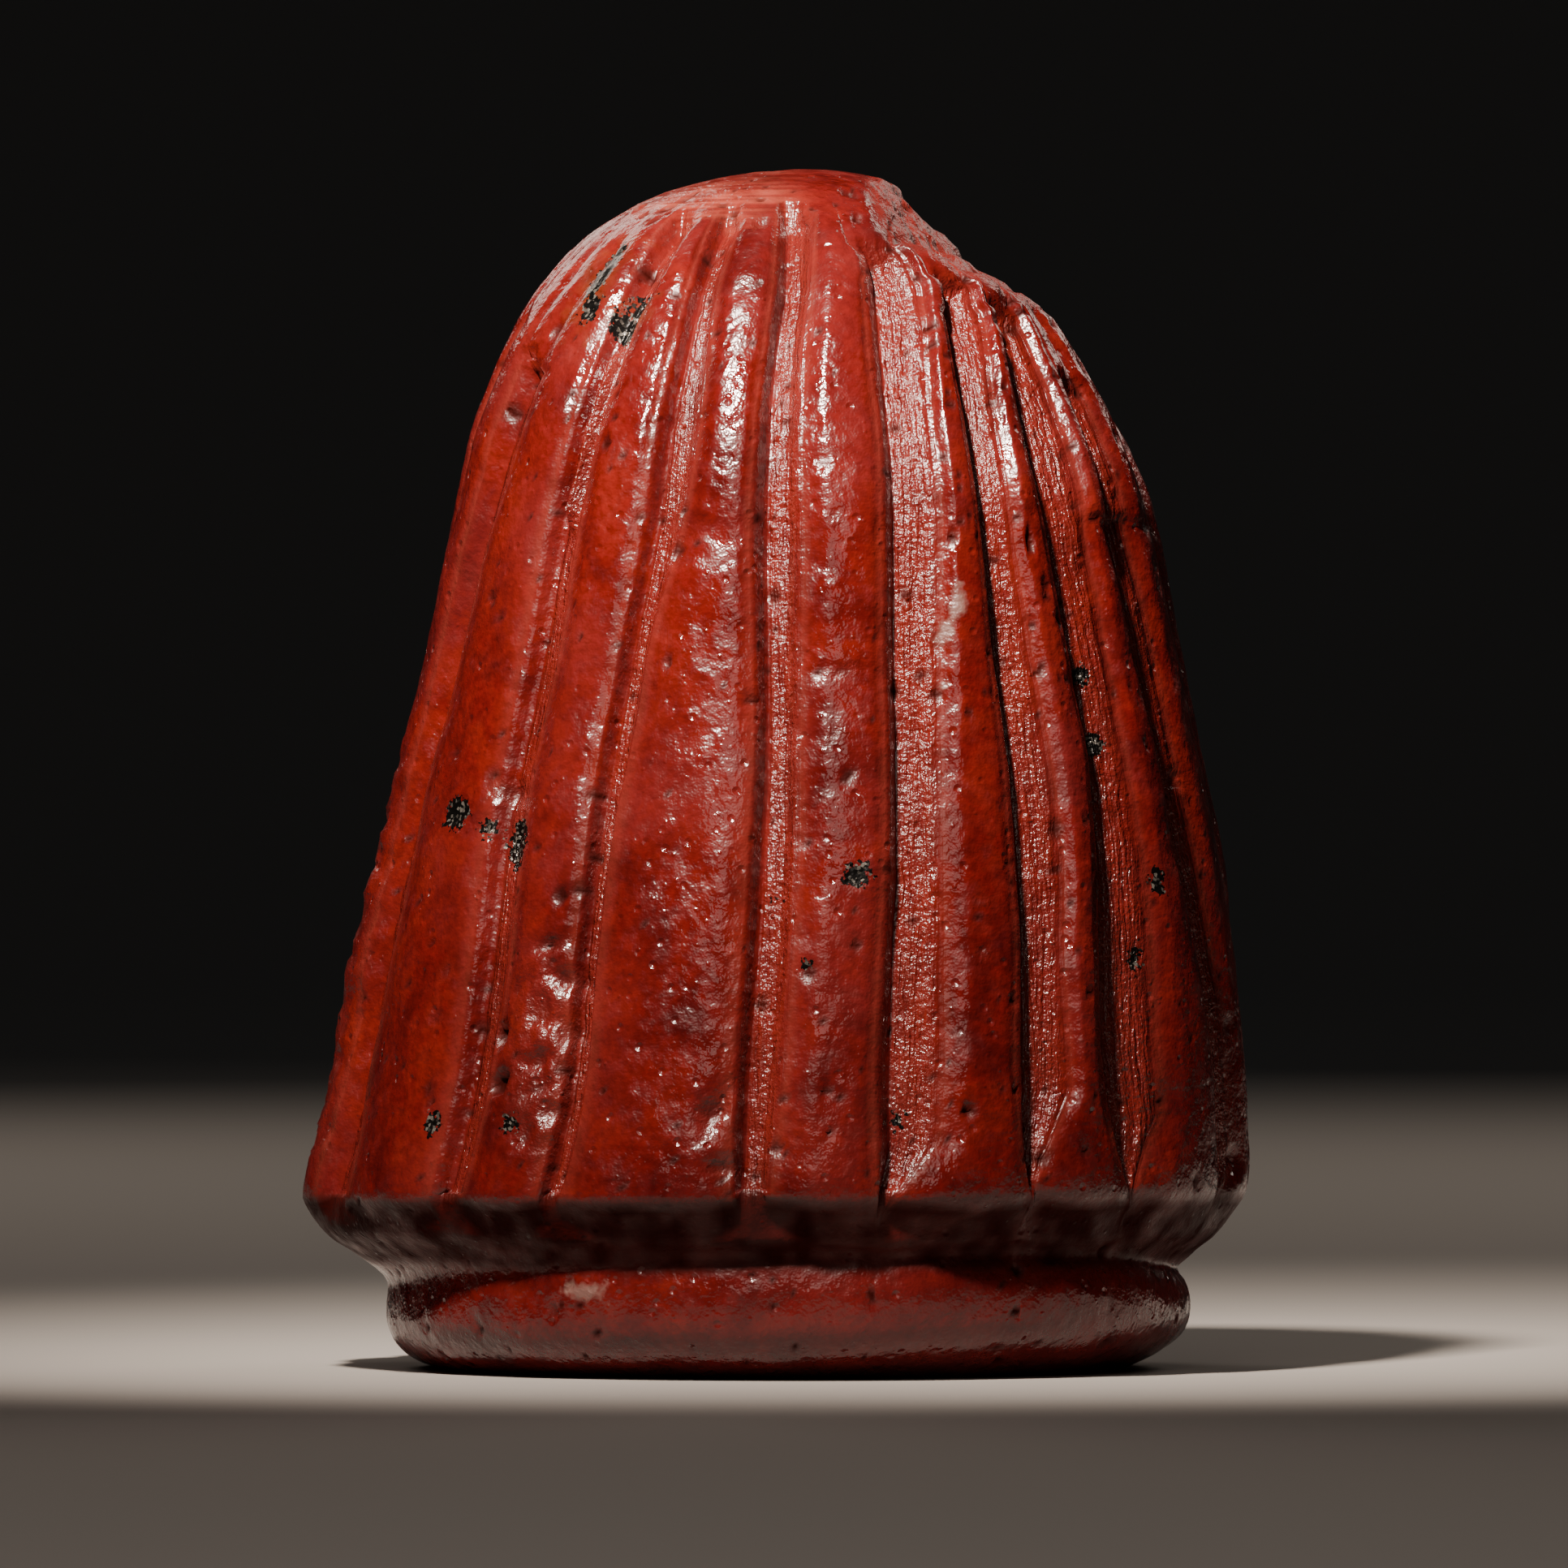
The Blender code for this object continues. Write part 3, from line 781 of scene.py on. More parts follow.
    def mark_field(
        self, mark: Mark, points: np.ndarray, ragged: np.ndarray
    ) -> tuple[np.ndarray, np.ndarray, np.ndarray, np.ndarray]:
        """How far each point is from the middle of a mark.

        Args:
            mark: The mark.
            points: Grid points in millimetres.
            ragged: Noise that roughens the mark's outline.

        Returns:
            Distance as a share of the mark's size, the same in millimetres inwards from its edge,
            and the place across and along the mark as shares of its half sizes.
        """
        aside = np.hypot(points[..., 0] - mark.side, points[..., 2] - mark.height)
        unseen = points[..., 1] > 0.4
        place = np.unravel_index(np.argmin(aside + 50.0 * unseen), aside.shape)
        middle = points[place]
        outward = np.array([middle[0] - self.form.axis_x, middle[1], 0.0])
        outward = outward / max(np.linalg.norm(outward), 1e-6)
        level = np.array([-outward[1], outward[0], 0.0])
        away = points - middle
        turn = math.radians(mark.tilt)
        beside, above, deep = away @ level, away[..., 2], away @ outward
        across = (beside * math.cos(turn) + above * math.sin(turn)) / mark.across
        along = (-beside * math.sin(turn) + above * math.cos(turn)) / mark.along
        size = min(mark.across, mark.along)
        share = np.sqrt(across**2 + along**2 + (0.6 * deep / size) ** 2)
        share = share * (1.0 + 0.42 * ragged)
        return share, (1.0 - share) * size, across, along

    def scar(self, number: int, across: np.ndarray, along: np.ndarray) -> np.ndarray:
        """Depth share of a chip, whose few flat scars meet inside it.

        Args:
            number: The chip's number, which seeds how its scars turn.
            across: Place across the chip, as a share of its half size.
            along: Place along it, likewise.

        Returns:
            Share of the chip's full depth.
        """
        source = np.random.default_rng(self.seed + 100 + number)
        first = source.uniform(0.0, 2.0 * math.pi)
        deepest = np.full(across.shape, 2.0)
        for step in range(4):
            turn = first + 0.5 * math.pi * step + source.uniform(-0.5, 0.5)
            fall = source.uniform(0.6, 1.3)
            towards = across * math.cos(turn) + along * math.sin(turn)
            deepest = np.minimum(deepest, 1.0 - fall * towards)
        return np.clip(deepest, 0.0, 1.0)

    def build(self) -> bpy.types.Object:
        """Makes the mesh, its colour masks and the object.

        Returns:
            The finished object.
        """
        side_rows = self.row_heights()
        cap_rows = self.cap_heights()
        z = np.concatenate([side_rows, cap_rows])
        plan = self.lay_out(z)
        base = self.positions(plan["azimuth"], z)
        outward = self.normals(base)
        height = base[..., 2]
        whole = self.form.whole_radius(plan["azimuth"], height)
        broken = smooth_step((whole - self.form.radius(plan["azimuth"], height)) / 0.12)
        depth, masks = self.wear(base, plan, broken)
        points = base - outward * depth[..., None]
        low = np.clip(points[..., 2], 0.0, self.form.height)
        points[..., 2] = np.where(height < 0.02, 0.0, low)
        masks["broken"] = np.maximum(masks["broken"], broken)
        return self.assemble(points, masks, len(side_rows))

    def wear(
        self, base: np.ndarray, plan: dict[str, np.ndarray], broken: np.ndarray
    ) -> tuple[np.ndarray, dict[str, np.ndarray]]:
        """Everything that lies below the plain form: grooves, handling wear, chips and pits.

        Args:
            base: Points of the plain form in millimetres.
            plan: The arrays that lay_out gives.
            broken: 1 on the crown's break and 0 elsewhere.

        Returns:
            Depths in millimetres, and the masks by name.
        """
        noise = StoneNoise(self.seed)
        detail = StoneNoise(self.seed + 1)
        height = base[..., 2]
        # The swell fades out towards the seal face, which stays flat.
        on_face = smooth_step(height / 0.35)
        lobes = 1.0 - plan["floor"]
        body = smooth_step((height - 2.2) / 0.5)
        swell = self.swell * noise.layers(base, 1.9, 2)
        swell = swell + self.fine_swell * detail.layers(base, 0.5, 2)
        depth = plan["cut"] * (1.0 - 0.8 * broken) + swell * lobes * on_face
        drawn_out = base * np.array([1.0, 1.0, 0.35])
        depth = depth + self.floor_rough * detail.layers(drawn_out, 0.24, 2) * plan["floor"]
        torn = self.break_rough * noise.layers(base, 0.8, 2)
        depth = depth + broken * (torn + self.break_fine * detail.layers(base, 0.3, 2))
        depth = depth + self.rim_wear * plan["rim"] * (0.5 + 0.5 * noise.at(base, 0.9)) * body
        ragged = detail.layers(base + 40.0, 0.22, 2)
        left_of_break = smooth_step((0.9 - base[..., 0]) / 1.4)
        handled = smooth_step((height + 0.3 * noise.at(base, 0.7) - self.handled_from) / 0.5)
        handled = handled * (1.0 - 0.5 * smooth_step((height - 21.45) / 0.3))
        handled = handled * (0.75 + 0.5 * detail.layers(base, 0.5, 2))
        masks = {
            "groove": plan["floor"],
            "rim": plan["rim"] * body,
            "across": plan["across"],
            "owner": plan["owner"],
            "handled": handled * left_of_break * (1.0 - broken),
            "hollow_shade": np.zeros_like(depth),
            "broken": np.zeros_like(depth),
        }
        for name in INCLUSIONS:
            masks[name] = np.full_like(depth, FAR_OUTSIDE)
        depth = self.marked(base, depth, masks, ragged)
        # The pits' mask also carries painted shade, which darkens their colour.
        scatter, hollow_shade = self.scattered_pits(base, lobes)
        masks["hollow_shade"] = np.maximum(masks["hollow_shade"], hollow_shade)
        depth = depth + scatter
        flaked = self.flaked(base)
        creases = 0.5 - np.abs(detail.layers(base + 9.0, 0.3, 3))
        depth = depth + flaked * (0.02 - self.flake_crease * creases) + self.steps(base)
        edge = self.rough_edge(base)
        depth = depth + edge * (0.02 + self.edge_rough * detail.layers(base + 21.0, 0.27, 2))
        masks["broken"] = np.maximum(masks["broken"], np.maximum(0.6 * flaked, 0.3 * edge))
        # Painted shade: the grip's underside is darkened unevenly and drawn dull.
        low, high = self.underside
        under = smooth_step((high - height) / 0.35) * smooth_step((height - low) / 0.3)
        uneven_shade = 0.85 + 0.3 * detail.layers(base, 0.45, 2)
        masks["hollow_shade"] = np.maximum(masks["hollow_shade"], np.clip(under * uneven_shade, 0.0, 1.0))
        return depth, masks

    def marked(
        self,
        base: np.ndarray,
        depth: np.ndarray,
        masks: dict[str, np.ndarray],
        ragged: np.ndarray,
    ) -> np.ndarray:
        """Adds the named chips, pits and inclusions, and writes them into the masks.

        Args:
            base: Points of the plain form in millimetres.
            depth: Depths so far, in millimetres.
            masks: The masks by name, which are changed.
            ragged: Noise that roughens the marks' outlines.

        Returns:
            The new depths in millimetres.
        """
        for number, mark in enumerate(self.marks):
            share, inside, across, along = self.mark_field(mark, base, ragged)
            if mark.kind is Kind.RUST:
                masks["rust"] = np.maximum(masks["rust"], 1.0 - share)
                continue
            if mark.kind is Kind.IRON:
                scattered = inside + 0.3 * min(mark.across, mark.along) * ragged
                masks["iron"] = np.maximum(masks["iron"], scattered)
                depth = depth + mark.depth * np.clip(1.0 - share**2, 0.0, 1.0) * (1.0 + ragged)
                continue
            if mark.kind is Kind.QUARTZ:
                masks["quartz"] = np.maximum(masks["quartz"], inside)
                continue
            bowl = np.sqrt(np.clip(1.0 - share**2, 0.0, 1.0))
            if mark.kind is Kind.CHIP:
                bowl = np.clip(2.5 * bowl, 0.0, 1.0) * self.scar(number, across, along)
            if mark.kind is Kind.RAISED:
                depth = depth - mark.depth * bowl
                continue
            if mark.kind is Kind.PIT:
                bowl = smooth_step(bowl)
            depth = depth + mark.depth * bowl * (1.0 + 0.3 * ragged)
            if mark.kind is Kind.CHIP:
                masks["broken"] = np.maximum(masks["broken"], 0.5 * smooth_step(bowl * 3.0))
                bowl = 0.4 * smooth_step((bowl - 0.35) / 0.5)
            # Painted shade: the deep middles of chips and the pits are darkened through this mask.
            masks["hollow_shade"] = np.maximum(masks["hollow_shade"], bowl)
        return depth

    def flaked(self, base: np.ndarray) -> np.ndarray:
        """Where the skin of the lower left lobe has flaked.

        Args:
            base: Points of the plain form in millimetres.

        Returns:
            1 in the middle of the flaked patch, falling to 0 outside it.
        """
        aside = (base[..., 0] - self.flake_middle[0]) / self.flake_half[0]
        above = (base[..., 2] - self.flake_middle[1]) / self.flake_half[1]
        return smooth_step(1.25 - (aside**2 + above**2)) * (base[..., 1] < 0)

    def rough_edge(self, base: np.ndarray) -> np.ndarray:
        """Where the grip's far left edge is worn rough.

        Args:
            base: Points of the plain form in millimetres.

        Returns:
            1 in the middle of the rough band, falling to 0 outside it.
        """
        leftward = self.form.axis_x - base[..., 0]
        turned = leftward / np.maximum(np.hypot(leftward, base[..., 1]), 0.1)
        low, high = self.edge_band
        band = smooth_step((base[..., 2] - low) / 0.8)
        return smooth_step((turned - 0.92) / 0.07) * band * smooth_step((high - base[..., 2]) / 3.5)

    def steps(self, base: np.ndarray) -> np.ndarray:
        """Shallow cross steps where the grip was cut in stages.

        Args:
            base: Points of the plain form in millimetres.

        Returns:
            Depths in millimetres.
        """
        total = np.zeros(base.shape[:-1])
        front = base[..., 1] < 0
        for side, half, edge, drop in self.stages:
            within = smooth_step((half - np.abs(base[..., 0] - side)) / 0.25 + 0.5)
            below = edge + 0.06 * np.sin(9.0 * base[..., 0]) - base[..., 2]
            profile = smooth_step(below / 0.09) * (1.0 - smooth_step(below / 1.4))
            total += drop * within * profile * front
        return total

    def scattered_pits(
        self, base: np.ndarray, lobes: np.ndarray
    ) -> tuple[np.ndarray, np.ndarray]:
        """Small pits all over the stone, at seeded places.

        Args:
            base: Points of the plain form in millimetres.
            lobes: 1 on the lobes and 0 in the grooves.

        Returns:
            Depths in millimetres, and a mask of the pits.
        """
        source = np.random.default_rng(self.seed + 7)
        total = np.zeros(base.shape[:-1])
        mask = np.zeros(base.shape[:-1])
        rings, columns = total.shape
        for _ in range(self.pit_count):
            row = int(source.integers(4, rings - 8))
            column = int(source.integers(0, columns))
            size = self.smallest_pit + self.pit_spread * source.random() ** 3
            rows = slice(max(0, row - 5), min(rings, row + 6))
            picked = np.arange(column - 7, column + 8) % columns
            area = base[rows][:, picked]
            away = np.linalg.norm(area - base[row, column], axis=-1) / size
            bowl = smooth_step(np.clip(1.0 - away**2, 0.0, 1.0))
            total[rows.start : rows.stop, picked] += 0.45 * size * bowl
            seen = mask[rows.start : rows.stop, picked]
            mask[rows.start : rows.stop, picked] = np.maximum(seen, bowl)
        return total * (0.35 + 0.65 * lobes), mask

    def assemble(
        self, points: np.ndarray, masks: dict[str, np.ndarray], side_count: int
    ) -> bpy.types.Object:
        """Joins the rings, the cap and the seal face into one closed mesh.

        Args:
            points: Grid points in millimetres, rings by columns.
            masks: Masks on the same grid.
            side_count: Number of rings below the cap.

        Returns:
            The object.
        """
        columns = points.shape[1]
        vertices: list[np.ndarray] = []
        values: dict[str, list[np.ndarray]] = {name: [] for name in masks}
        faces: list[tuple[int, ...]] = []
        rings: list[np.ndarray] = []
        total = 0
        for row in range(points.shape[0]):
            stride = 1 if row < side_count else (2 if row < side_count + self.cap_steps // 2 else 4)
            picked = np.arange(0, columns, stride)
            vertices.append(points[row, picked])
            for name, mask in masks.items():
                values[name].append(mask[row, picked])
            rings.append(total + np.arange(len(picked)))
            total += len(picked)
        for lower, upper in zip(rings, rings[1:]):
            faces.extend(self.between(lower, upper, False))
        crown = points[-1].mean(axis=0)
        crown[2] = self.form.height
        vertices.append(crown[None, :])
        top = rings[-1]
        faces.extend((int(a), int(b), total) for a, b in zip(top, np.roll(top, -1)))
        for name in masks:
            values[name].append(masks[name][-1, :1])
        total += 1
        face_points, face_rings = self.face_grid(points[0], total)
        vertices.append(face_points)
        for name in masks:
            fill = FAR_OUTSIDE if name in INCLUSIONS else 0.0
            values[name].append(np.full(len(face_points), fill))
        faces.extend(self.between(rings[0], face_rings[0], True))
        for outer, inner in zip(face_rings, face_rings[1:]):
            faces.extend(self.between(outer, inner, True))
        centre = total + len(face_points) - 1
        last = face_rings[-1]
        faces.extend((int(b), int(a), centre) for a, b in zip(last, np.roll(last, -1)))
        mesh = bpy.data.meshes.new(self.name)
        mesh.from_pydata((np.concatenate(vertices) * MM).tolist(), [], faces)
        for name, parts in values.items():
            attribute = mesh.attributes.new(name, "FLOAT", "POINT")
            attribute.data.foreach_set("value", np.concatenate(parts).astype(np.float32))
        mesh.shade_smooth()
        mesh.validate()
        stone = bpy.data.objects.new(self.name, mesh)
        bpy.context.scene.collection.objects.link(stone)
        return stone

    def between(self, outer: np.ndarray, inner: np.ndarray, flip: bool) -> list[tuple[int, ...]]:
        """Faces between two rings, the second of which may have fewer points.

        Args:
            outer: Vertex numbers of the ring with more points.
            inner: Vertex numbers of the other ring.
            flip: True to turn the faces the other way.

        Returns:
            Vertex numbers of each face.
        """
        ratio = len(outer) // len(inner)
        result = []
        for index in range(len(inner)):
            first = index * ratio
            edge = [int(outer[(first + step) % len(outer)]) for step in range(ratio + 1)]
            other = [int(inner[(index + 1) % len(inner)]), int(inner[index])]
            corners = edge + other
            result.append(tuple(reversed(corners)) if flip else tuple(corners))
        return result

    def face_grid(self, rim: np.ndarray, start: int) -> tuple[np.ndarray, list[np.ndarray]]:
        """Points of the seal face inside the rim of the base.

        Args:
            rim: Points of the lowest ring, in millimetres.
            start: Number of the first new vertex.

        Returns:
            The points, the middle one last, and the vertex numbers of each ring.
        """
        chosen = rim[::4]
        turn = np.arctan2(chosen[:, 1], chosen[:, 0] - self.face.centre_x)
        points, rings = [], []
        noise = StoneNoise(self.seed + 5)
        for radius in self.face.ring_radii():
            x, y = radius * np.cos(turn), radius * np.sin(turn)
            depth = self.face.depth(x, y)
            ring = np.stack([self.face.centre_x + x, y, depth], axis=-1)
            ring[:, 2] += 0.012 * np.clip(noise.at(ring, 0.6), 0.0, None) * (depth > 0.02)
            rings.append(start + len(points) * len(turn) + np.arange(len(turn)))
            points.append(ring)
        middle = self.face.depth(np.zeros(1), np.zeros(1))[0]
        points.append(np.array([[self.face.centre_x, 0.0, middle]]))
        return np.concatenate(points), rings


def linear(hex_colour: str) -> tuple[float, float, float, float]:
    """Turns an sRGB hex colour into the linear colour that a shader takes.

    Args:
        hex_colour: Six hex digits, such as "8f1e10".

    Returns:
        Linear red, green, blue and an alpha of 1.
    """
    parts = [int(hex_colour[index : index + 2], 16) / 255.0 for index in (0, 2, 4)]
    shares = [p / 12.92 if p <= 0.04045 else ((p + 0.055) / 1.055) ** 2.4 for p in parts]
    return (shares[0], shares[1], shares[2], 1.0)


def add_node(
    tree: bpy.types.NodeTree,
    kind: str,
    settings: dict[Any, Any] | None = None,
    links: dict[Any, bpy.types.NodeSocket] | None = None,
) -> bpy.types.Node:
    """Adds a node with its settings and links.

    Args:
        tree: The node tree.
        kind: The node's type, without its ShaderNode prefix.
        settings: Values by input socket, or by property where no socket has that name.
        links: Output sockets by the input socket that they feed.

    Returns:
        The new node.
    """
    node = tree.nodes.new("ShaderNode" + kind)
    for name, value in (settings or {}).items():
        if isinstance(name, str) and hasattr(node, name):
            setattr(node, name, value)
    for name, value in (settings or {}).items():
        if not (isinstance(name, str) and hasattr(node, name)):
            node.inputs[name].default_value = value
    for name, source in (links or {}).items():
        tree.links.new(source, node.inputs[name])
    return node


Sockets = dict[str, bpy.types.NodeSocket]


@dataclass(frozen=True)
class PolishedJasper:
    """Red jasper, sawn, filed into grooves and polished by hand.

    Jasper is quartz stained by fine iron oxide, so it is opaque, with a waxy shine on the polished
    lobes. The filed grooves kept a scored floor, whose many small faces glint and look paler.
    """

    name: str = "red_jasper"
    deep: str = "3f0909"
    brick: str = "520e0d"
    bright: str = "5e140f"
    # Painted sheen: a mauve tint mixed into the colour in random patches.
    painted_sheen: str = "62201e"
    filed: str = "7a2a1e"
    worn: str = "96483a"
    # Painted shade, for the pits, the chips and the grip's underside.
    hollow_shade: str = "1c0402"
    iron_dark: str = "0e0d0c"
    iron_light: str = "77736c"
    rust: str = "64350f"
    quartz: str = "6c5049"
    ior: float = 1.54
    iron_metallic: float = 0.6
    mottle_mm: float = 1.5
    painted_sheen_mm: float = 2.6
    speckle_mm: float = 0.16
    patch_mm: float = 0.45
    polish_mm: float = 0.33
    pit_spacing_mm: float = 0.42
    grit_mm: float = 0.11
    crystal_mm: float = 0.13
    iron_grain_mm: float = 0.055
    # File scores go down to about 0.03 mm, too fine for the render, so they are drawn wider.
    score_mm: float = 0.08
    score_length_mm: float = 1.2
    score_sway_mm: float = 0.14
    chatter_mm: float = 0.17
    # Grains that glint are about 0.02 mm across in the stone and are drawn some five times as wide.
    glint_spacing_mm: float = 0.2
    glint_radius_mm: float = 0.055

    def build(self) -> bpy.types.Material:
        """Makes the material.

        Returns:
            The material, which reads the masks that the stone's mesh carries.
        """
        material = bpy.data.materials.new(self.name)
        material.use_nodes = True
        tree = material.node_tree
        tree.nodes.clear()
        shader = add_node(tree, "BsdfPrincipled", {"IOR": self.ior})
        output = add_node(tree, "OutputMaterial")
        tree.links.new(shader.outputs["BSDF"], output.inputs["Surface"])
        mask = {
            name: add_node(tree, "Attribute", {"attribute_name": name}).outputs["Fac"]
            for name in (
                "groove", "rim", "across", "owner", "handled", "hollow_shade", "broken", "iron", "rust",
                "quartz",
            )
        }
        pattern = self.patterns(tree)
        pattern.update(self.tool_marks(tree, pattern, mask))
        mask.update(self.inclusions(tree, pattern, mask))
        metal = add_node(
            tree, "Math", {"operation": "MULTIPLY", 1: self.iron_metallic}, {0: mask["iron"]}
        )
        # A pit is a cavity finer than the mesh can hold, and light hardly comes back out of it.
        shaded = add_node(
            tree, "MapRange", {"To Min": 0.5, "To Max": 0.03}, {"Value": mask["hollow_shade"]}
        )
        for name, socket in (
            ("Base Color", self.colour(tree, pattern, mask)),
            ("Roughness", self.roughness(tree, pattern, mask)),
            ("Specular IOR Level", shaded.outputs["Result"]),
            ("Metallic", metal.outputs[0]),
            ("Normal", self.relief(tree, pattern, mask)),
        ):
            tree.links.new(socket, shader.inputs[name])
        return material

    def patterns(self, tree: bpy.types.NodeTree) -> Sockets:
        """The stone's own patterns, each at its size.

        Args:
            tree: The node tree.

        Returns:
            The position in millimetres, noises from 0 to 1, small pits, iron grains and glints.
        """
        where = add_node(tree, "TexCoord").outputs["Object"]
        mm = add_node(
            tree, "VectorMath", {"operation": "SCALE", "Scale": 1.0 / MM}, {0: where}
        ).outputs[0]
        result = {"mm": mm}
        for name, size, detail, rough, distortion in (
            ("mottle", self.mottle_mm, 3.0, 0.62, 0.6),
            ("painted_sheen", self.painted_sheen_mm, 1.0, 0.6, 0.0),
            ("speckle", self.speckle_mm, 1.0, 0.7, 0.0),
            ("patch", self.patch_mm, 2.0, 0.6, 0.0),
            ("wave", self.polish_mm, 3.0, 0.6, 0.0),
            ("grit", self.grit_mm, 2.0, 0.7, 0.0),
            ("crystal", self.crystal_mm, 1.0, 0.65, 0.0),
        ):
            settings = {"Scale": 1.0 / size, "Detail": detail, "Roughness": rough}
            settings["Distortion"] = distortion
            result[name] = add_node(tree, "TexNoise", settings, {"Vector": mm}).outputs["Fac"]
        cells = add_node(tree, "TexVoronoi", {"Scale": 1.0 / self.pit_spacing_mm}, {"Vector": mm})
        result["pits"] = add_node(
            tree,
            "MapRange",
            {"From Min": 0.0, "From Max": 0.2},
            {"Value": cells.outputs["Distance"]},
        ).outputs["Result"]
        grains = add_node(tree, "TexVoronoi", {"Scale": 1.0 / self.iron_grain_mm}, {"Vector": mm})
        chances = add_node(tree, "SeparateColor", None, {0: grains.outputs["Color"]})
        result["grains"] = chances.outputs[0]
        result["between_grains"] = chances.outputs[1]
        cells = add_node(tree, "TexVoronoi", {"Scale": 1.0 / self.glint_spacing_mm}, {"Vector": mm})
        picked = add_node(tree, "SeparateColor", None, {0: cells.outputs["Color"]}).outputs[0]
        picked = add_node(
            tree, "MapRange", {"From Min": 0.55, "From Max": 0.6}, {"Value": picked}
        ).outputs["Result"]
        dome = add_node(
            tree,
            "MapRange",
            {
                "interpolation_type": "SMOOTHSTEP",
                "From Min": 0.0,
                "From Max": self.glint_radius_mm / self.glint_spacing_mm,
                "To Min": 1.0,
                "To Max": 0.0,
            },
            {"Value": cells.outputs["Distance"]},
        ).outputs["Result"]
        result["glint"] = add_node(
            tree, "Math", {"operation": "MULTIPLY"}, {0: dome, 1: picked}
        ).outputs[0]
        return result

    def tool_marks(self, tree: bpy.types.NodeTree, pattern: Sockets, mask: Sockets) -> Sockets:
        """What the tools left: scores along the grooves and chatter across them.

        Args:
            tree: The node tree.
            pattern: The stone's patterns and the position in millimetres.
            mask: The mesh's masks and its place across each groove.

        Returns:
            Noises from 0 to 1 for scores, chatter and the lines on the crown.
        """
        mm = pattern["mm"]
        height = add_node(tree, "SeparateXYZ", None, {0: mm}).outputs[2]
        across = add_node(
            tree,
            "Math",
            {"operation": "MULTIPLY_ADD", 1: self.score_sway_mm},
            {0: pattern["wave"], 2: mask["across"]},
        ).outputs[0]
        along = add_node(
            tree, "CombineXYZ", None, {0: across, 1: height, 2: mask["owner"]}
        ).outputs[0]
        result = {}
        for name, source, scale, detail in (
            ("scores", along, (1.0 / self.score_mm, 1.0 / self.score_length_mm, 7.3), 2.0),
            ("chatter", along, (1.0 / 0.4, 1.0 / self.chatter_mm, 7.3), 1.0),
            ("crown_lines", mm, (0.35, 1.2, 1.0 / 0.06), 0.0),
        ):
            scaled = add_node(
                tree, "VectorMath", {"operation": "MULTIPLY", 1: scale}, {0: source}
            ).outputs[0]
            result[name] = add_node(
                tree,
                "TexNoise",
                {"Scale": 1.0, "Detail": detail, "Roughness": 0.6},
                {"Vector": scaled},
            ).outputs["Fac"]
        return result

    def inclusions(self, tree: bpy.types.NodeTree, pattern: Sockets, mask: Sockets) -> Sockets:
        """Gives the inclusions a grainy, broken outline.

        Args:
            tree: The node tree.
            pattern: The stone's patterns.
            mask: The mesh's masks.

        Returns:
            Masks from 0 to 1 for iron, quartz and rust.
        """
        result = {}
        for name, source, spread, soft in (
            ("iron", "crystal", 0.4, 0.08),
            ("quartz", "crystal", 0.2, 0.12),
            ("rust", "patch", 0.9, 0.9),
        ):
            shift = add_node(
                tree,
                "Math",
                {"operation": "MULTIPLY_ADD", 1: spread, 2: -0.5 * spread},
                {0: pattern[source]},
            ).outputs[0]
            total = add_node(
                tree, "Math", {"operation": "ADD"}, {0: mask[name], 1: shift}
            ).outputs[0]
            result[name] = add_node(
                tree, "MapRange", {"From Min": 0.0, "From Max": soft}, {"Value": total}
            ).outputs["Result"]
        ore = add_node(
            tree, "Math", {"operation": "LESS_THAN"}, {0: pattern["between_grains"], 1: result["iron"]}
        ).outputs[0]
        result["iron"] = ore
        return result

    def colour(
        self, tree: bpy.types.NodeTree, pattern: Sockets, mask: Sockets
    ) -> bpy.types.NodeSocket:
        """The stone's colour: mottled brick red, paler filed floors, inclusions, painted sheen and
        shade.

        Args:
            tree: The node tree.
            pattern: The stone's patterns and tool marks.
            mask: The mesh's masks and the inclusions.

        Returns:
            The colour.
        """
        ramp = add_node(tree, "ValToRGB", None, {"Fac": pattern["mottle"]})
        ramp.color_ramp.elements[0].position = 0.32
        ramp.color_ramp.elements[0].color = linear(self.deep)
        ramp.color_ramp.elements[1].position = 0.7
        ramp.color_ramp.elements[1].color = linear(self.bright)
        ramp.color_ramp.elements.new(0.5).color = linear(self.brick)
        light = add_node(
            tree,
            "MapRange",
            {"From Min": 0.3, "From Max": 0.7, "To Min": 0.82, "To Max": 1.18},
            {"Value": pattern["speckle"]},
        ).outputs["Result"]
        colour = add_node(
            tree,
            "VectorMath",
            {"operation": "SCALE"},
            {0: ramp.outputs["Color"], "Scale": light},
        ).outputs[0]
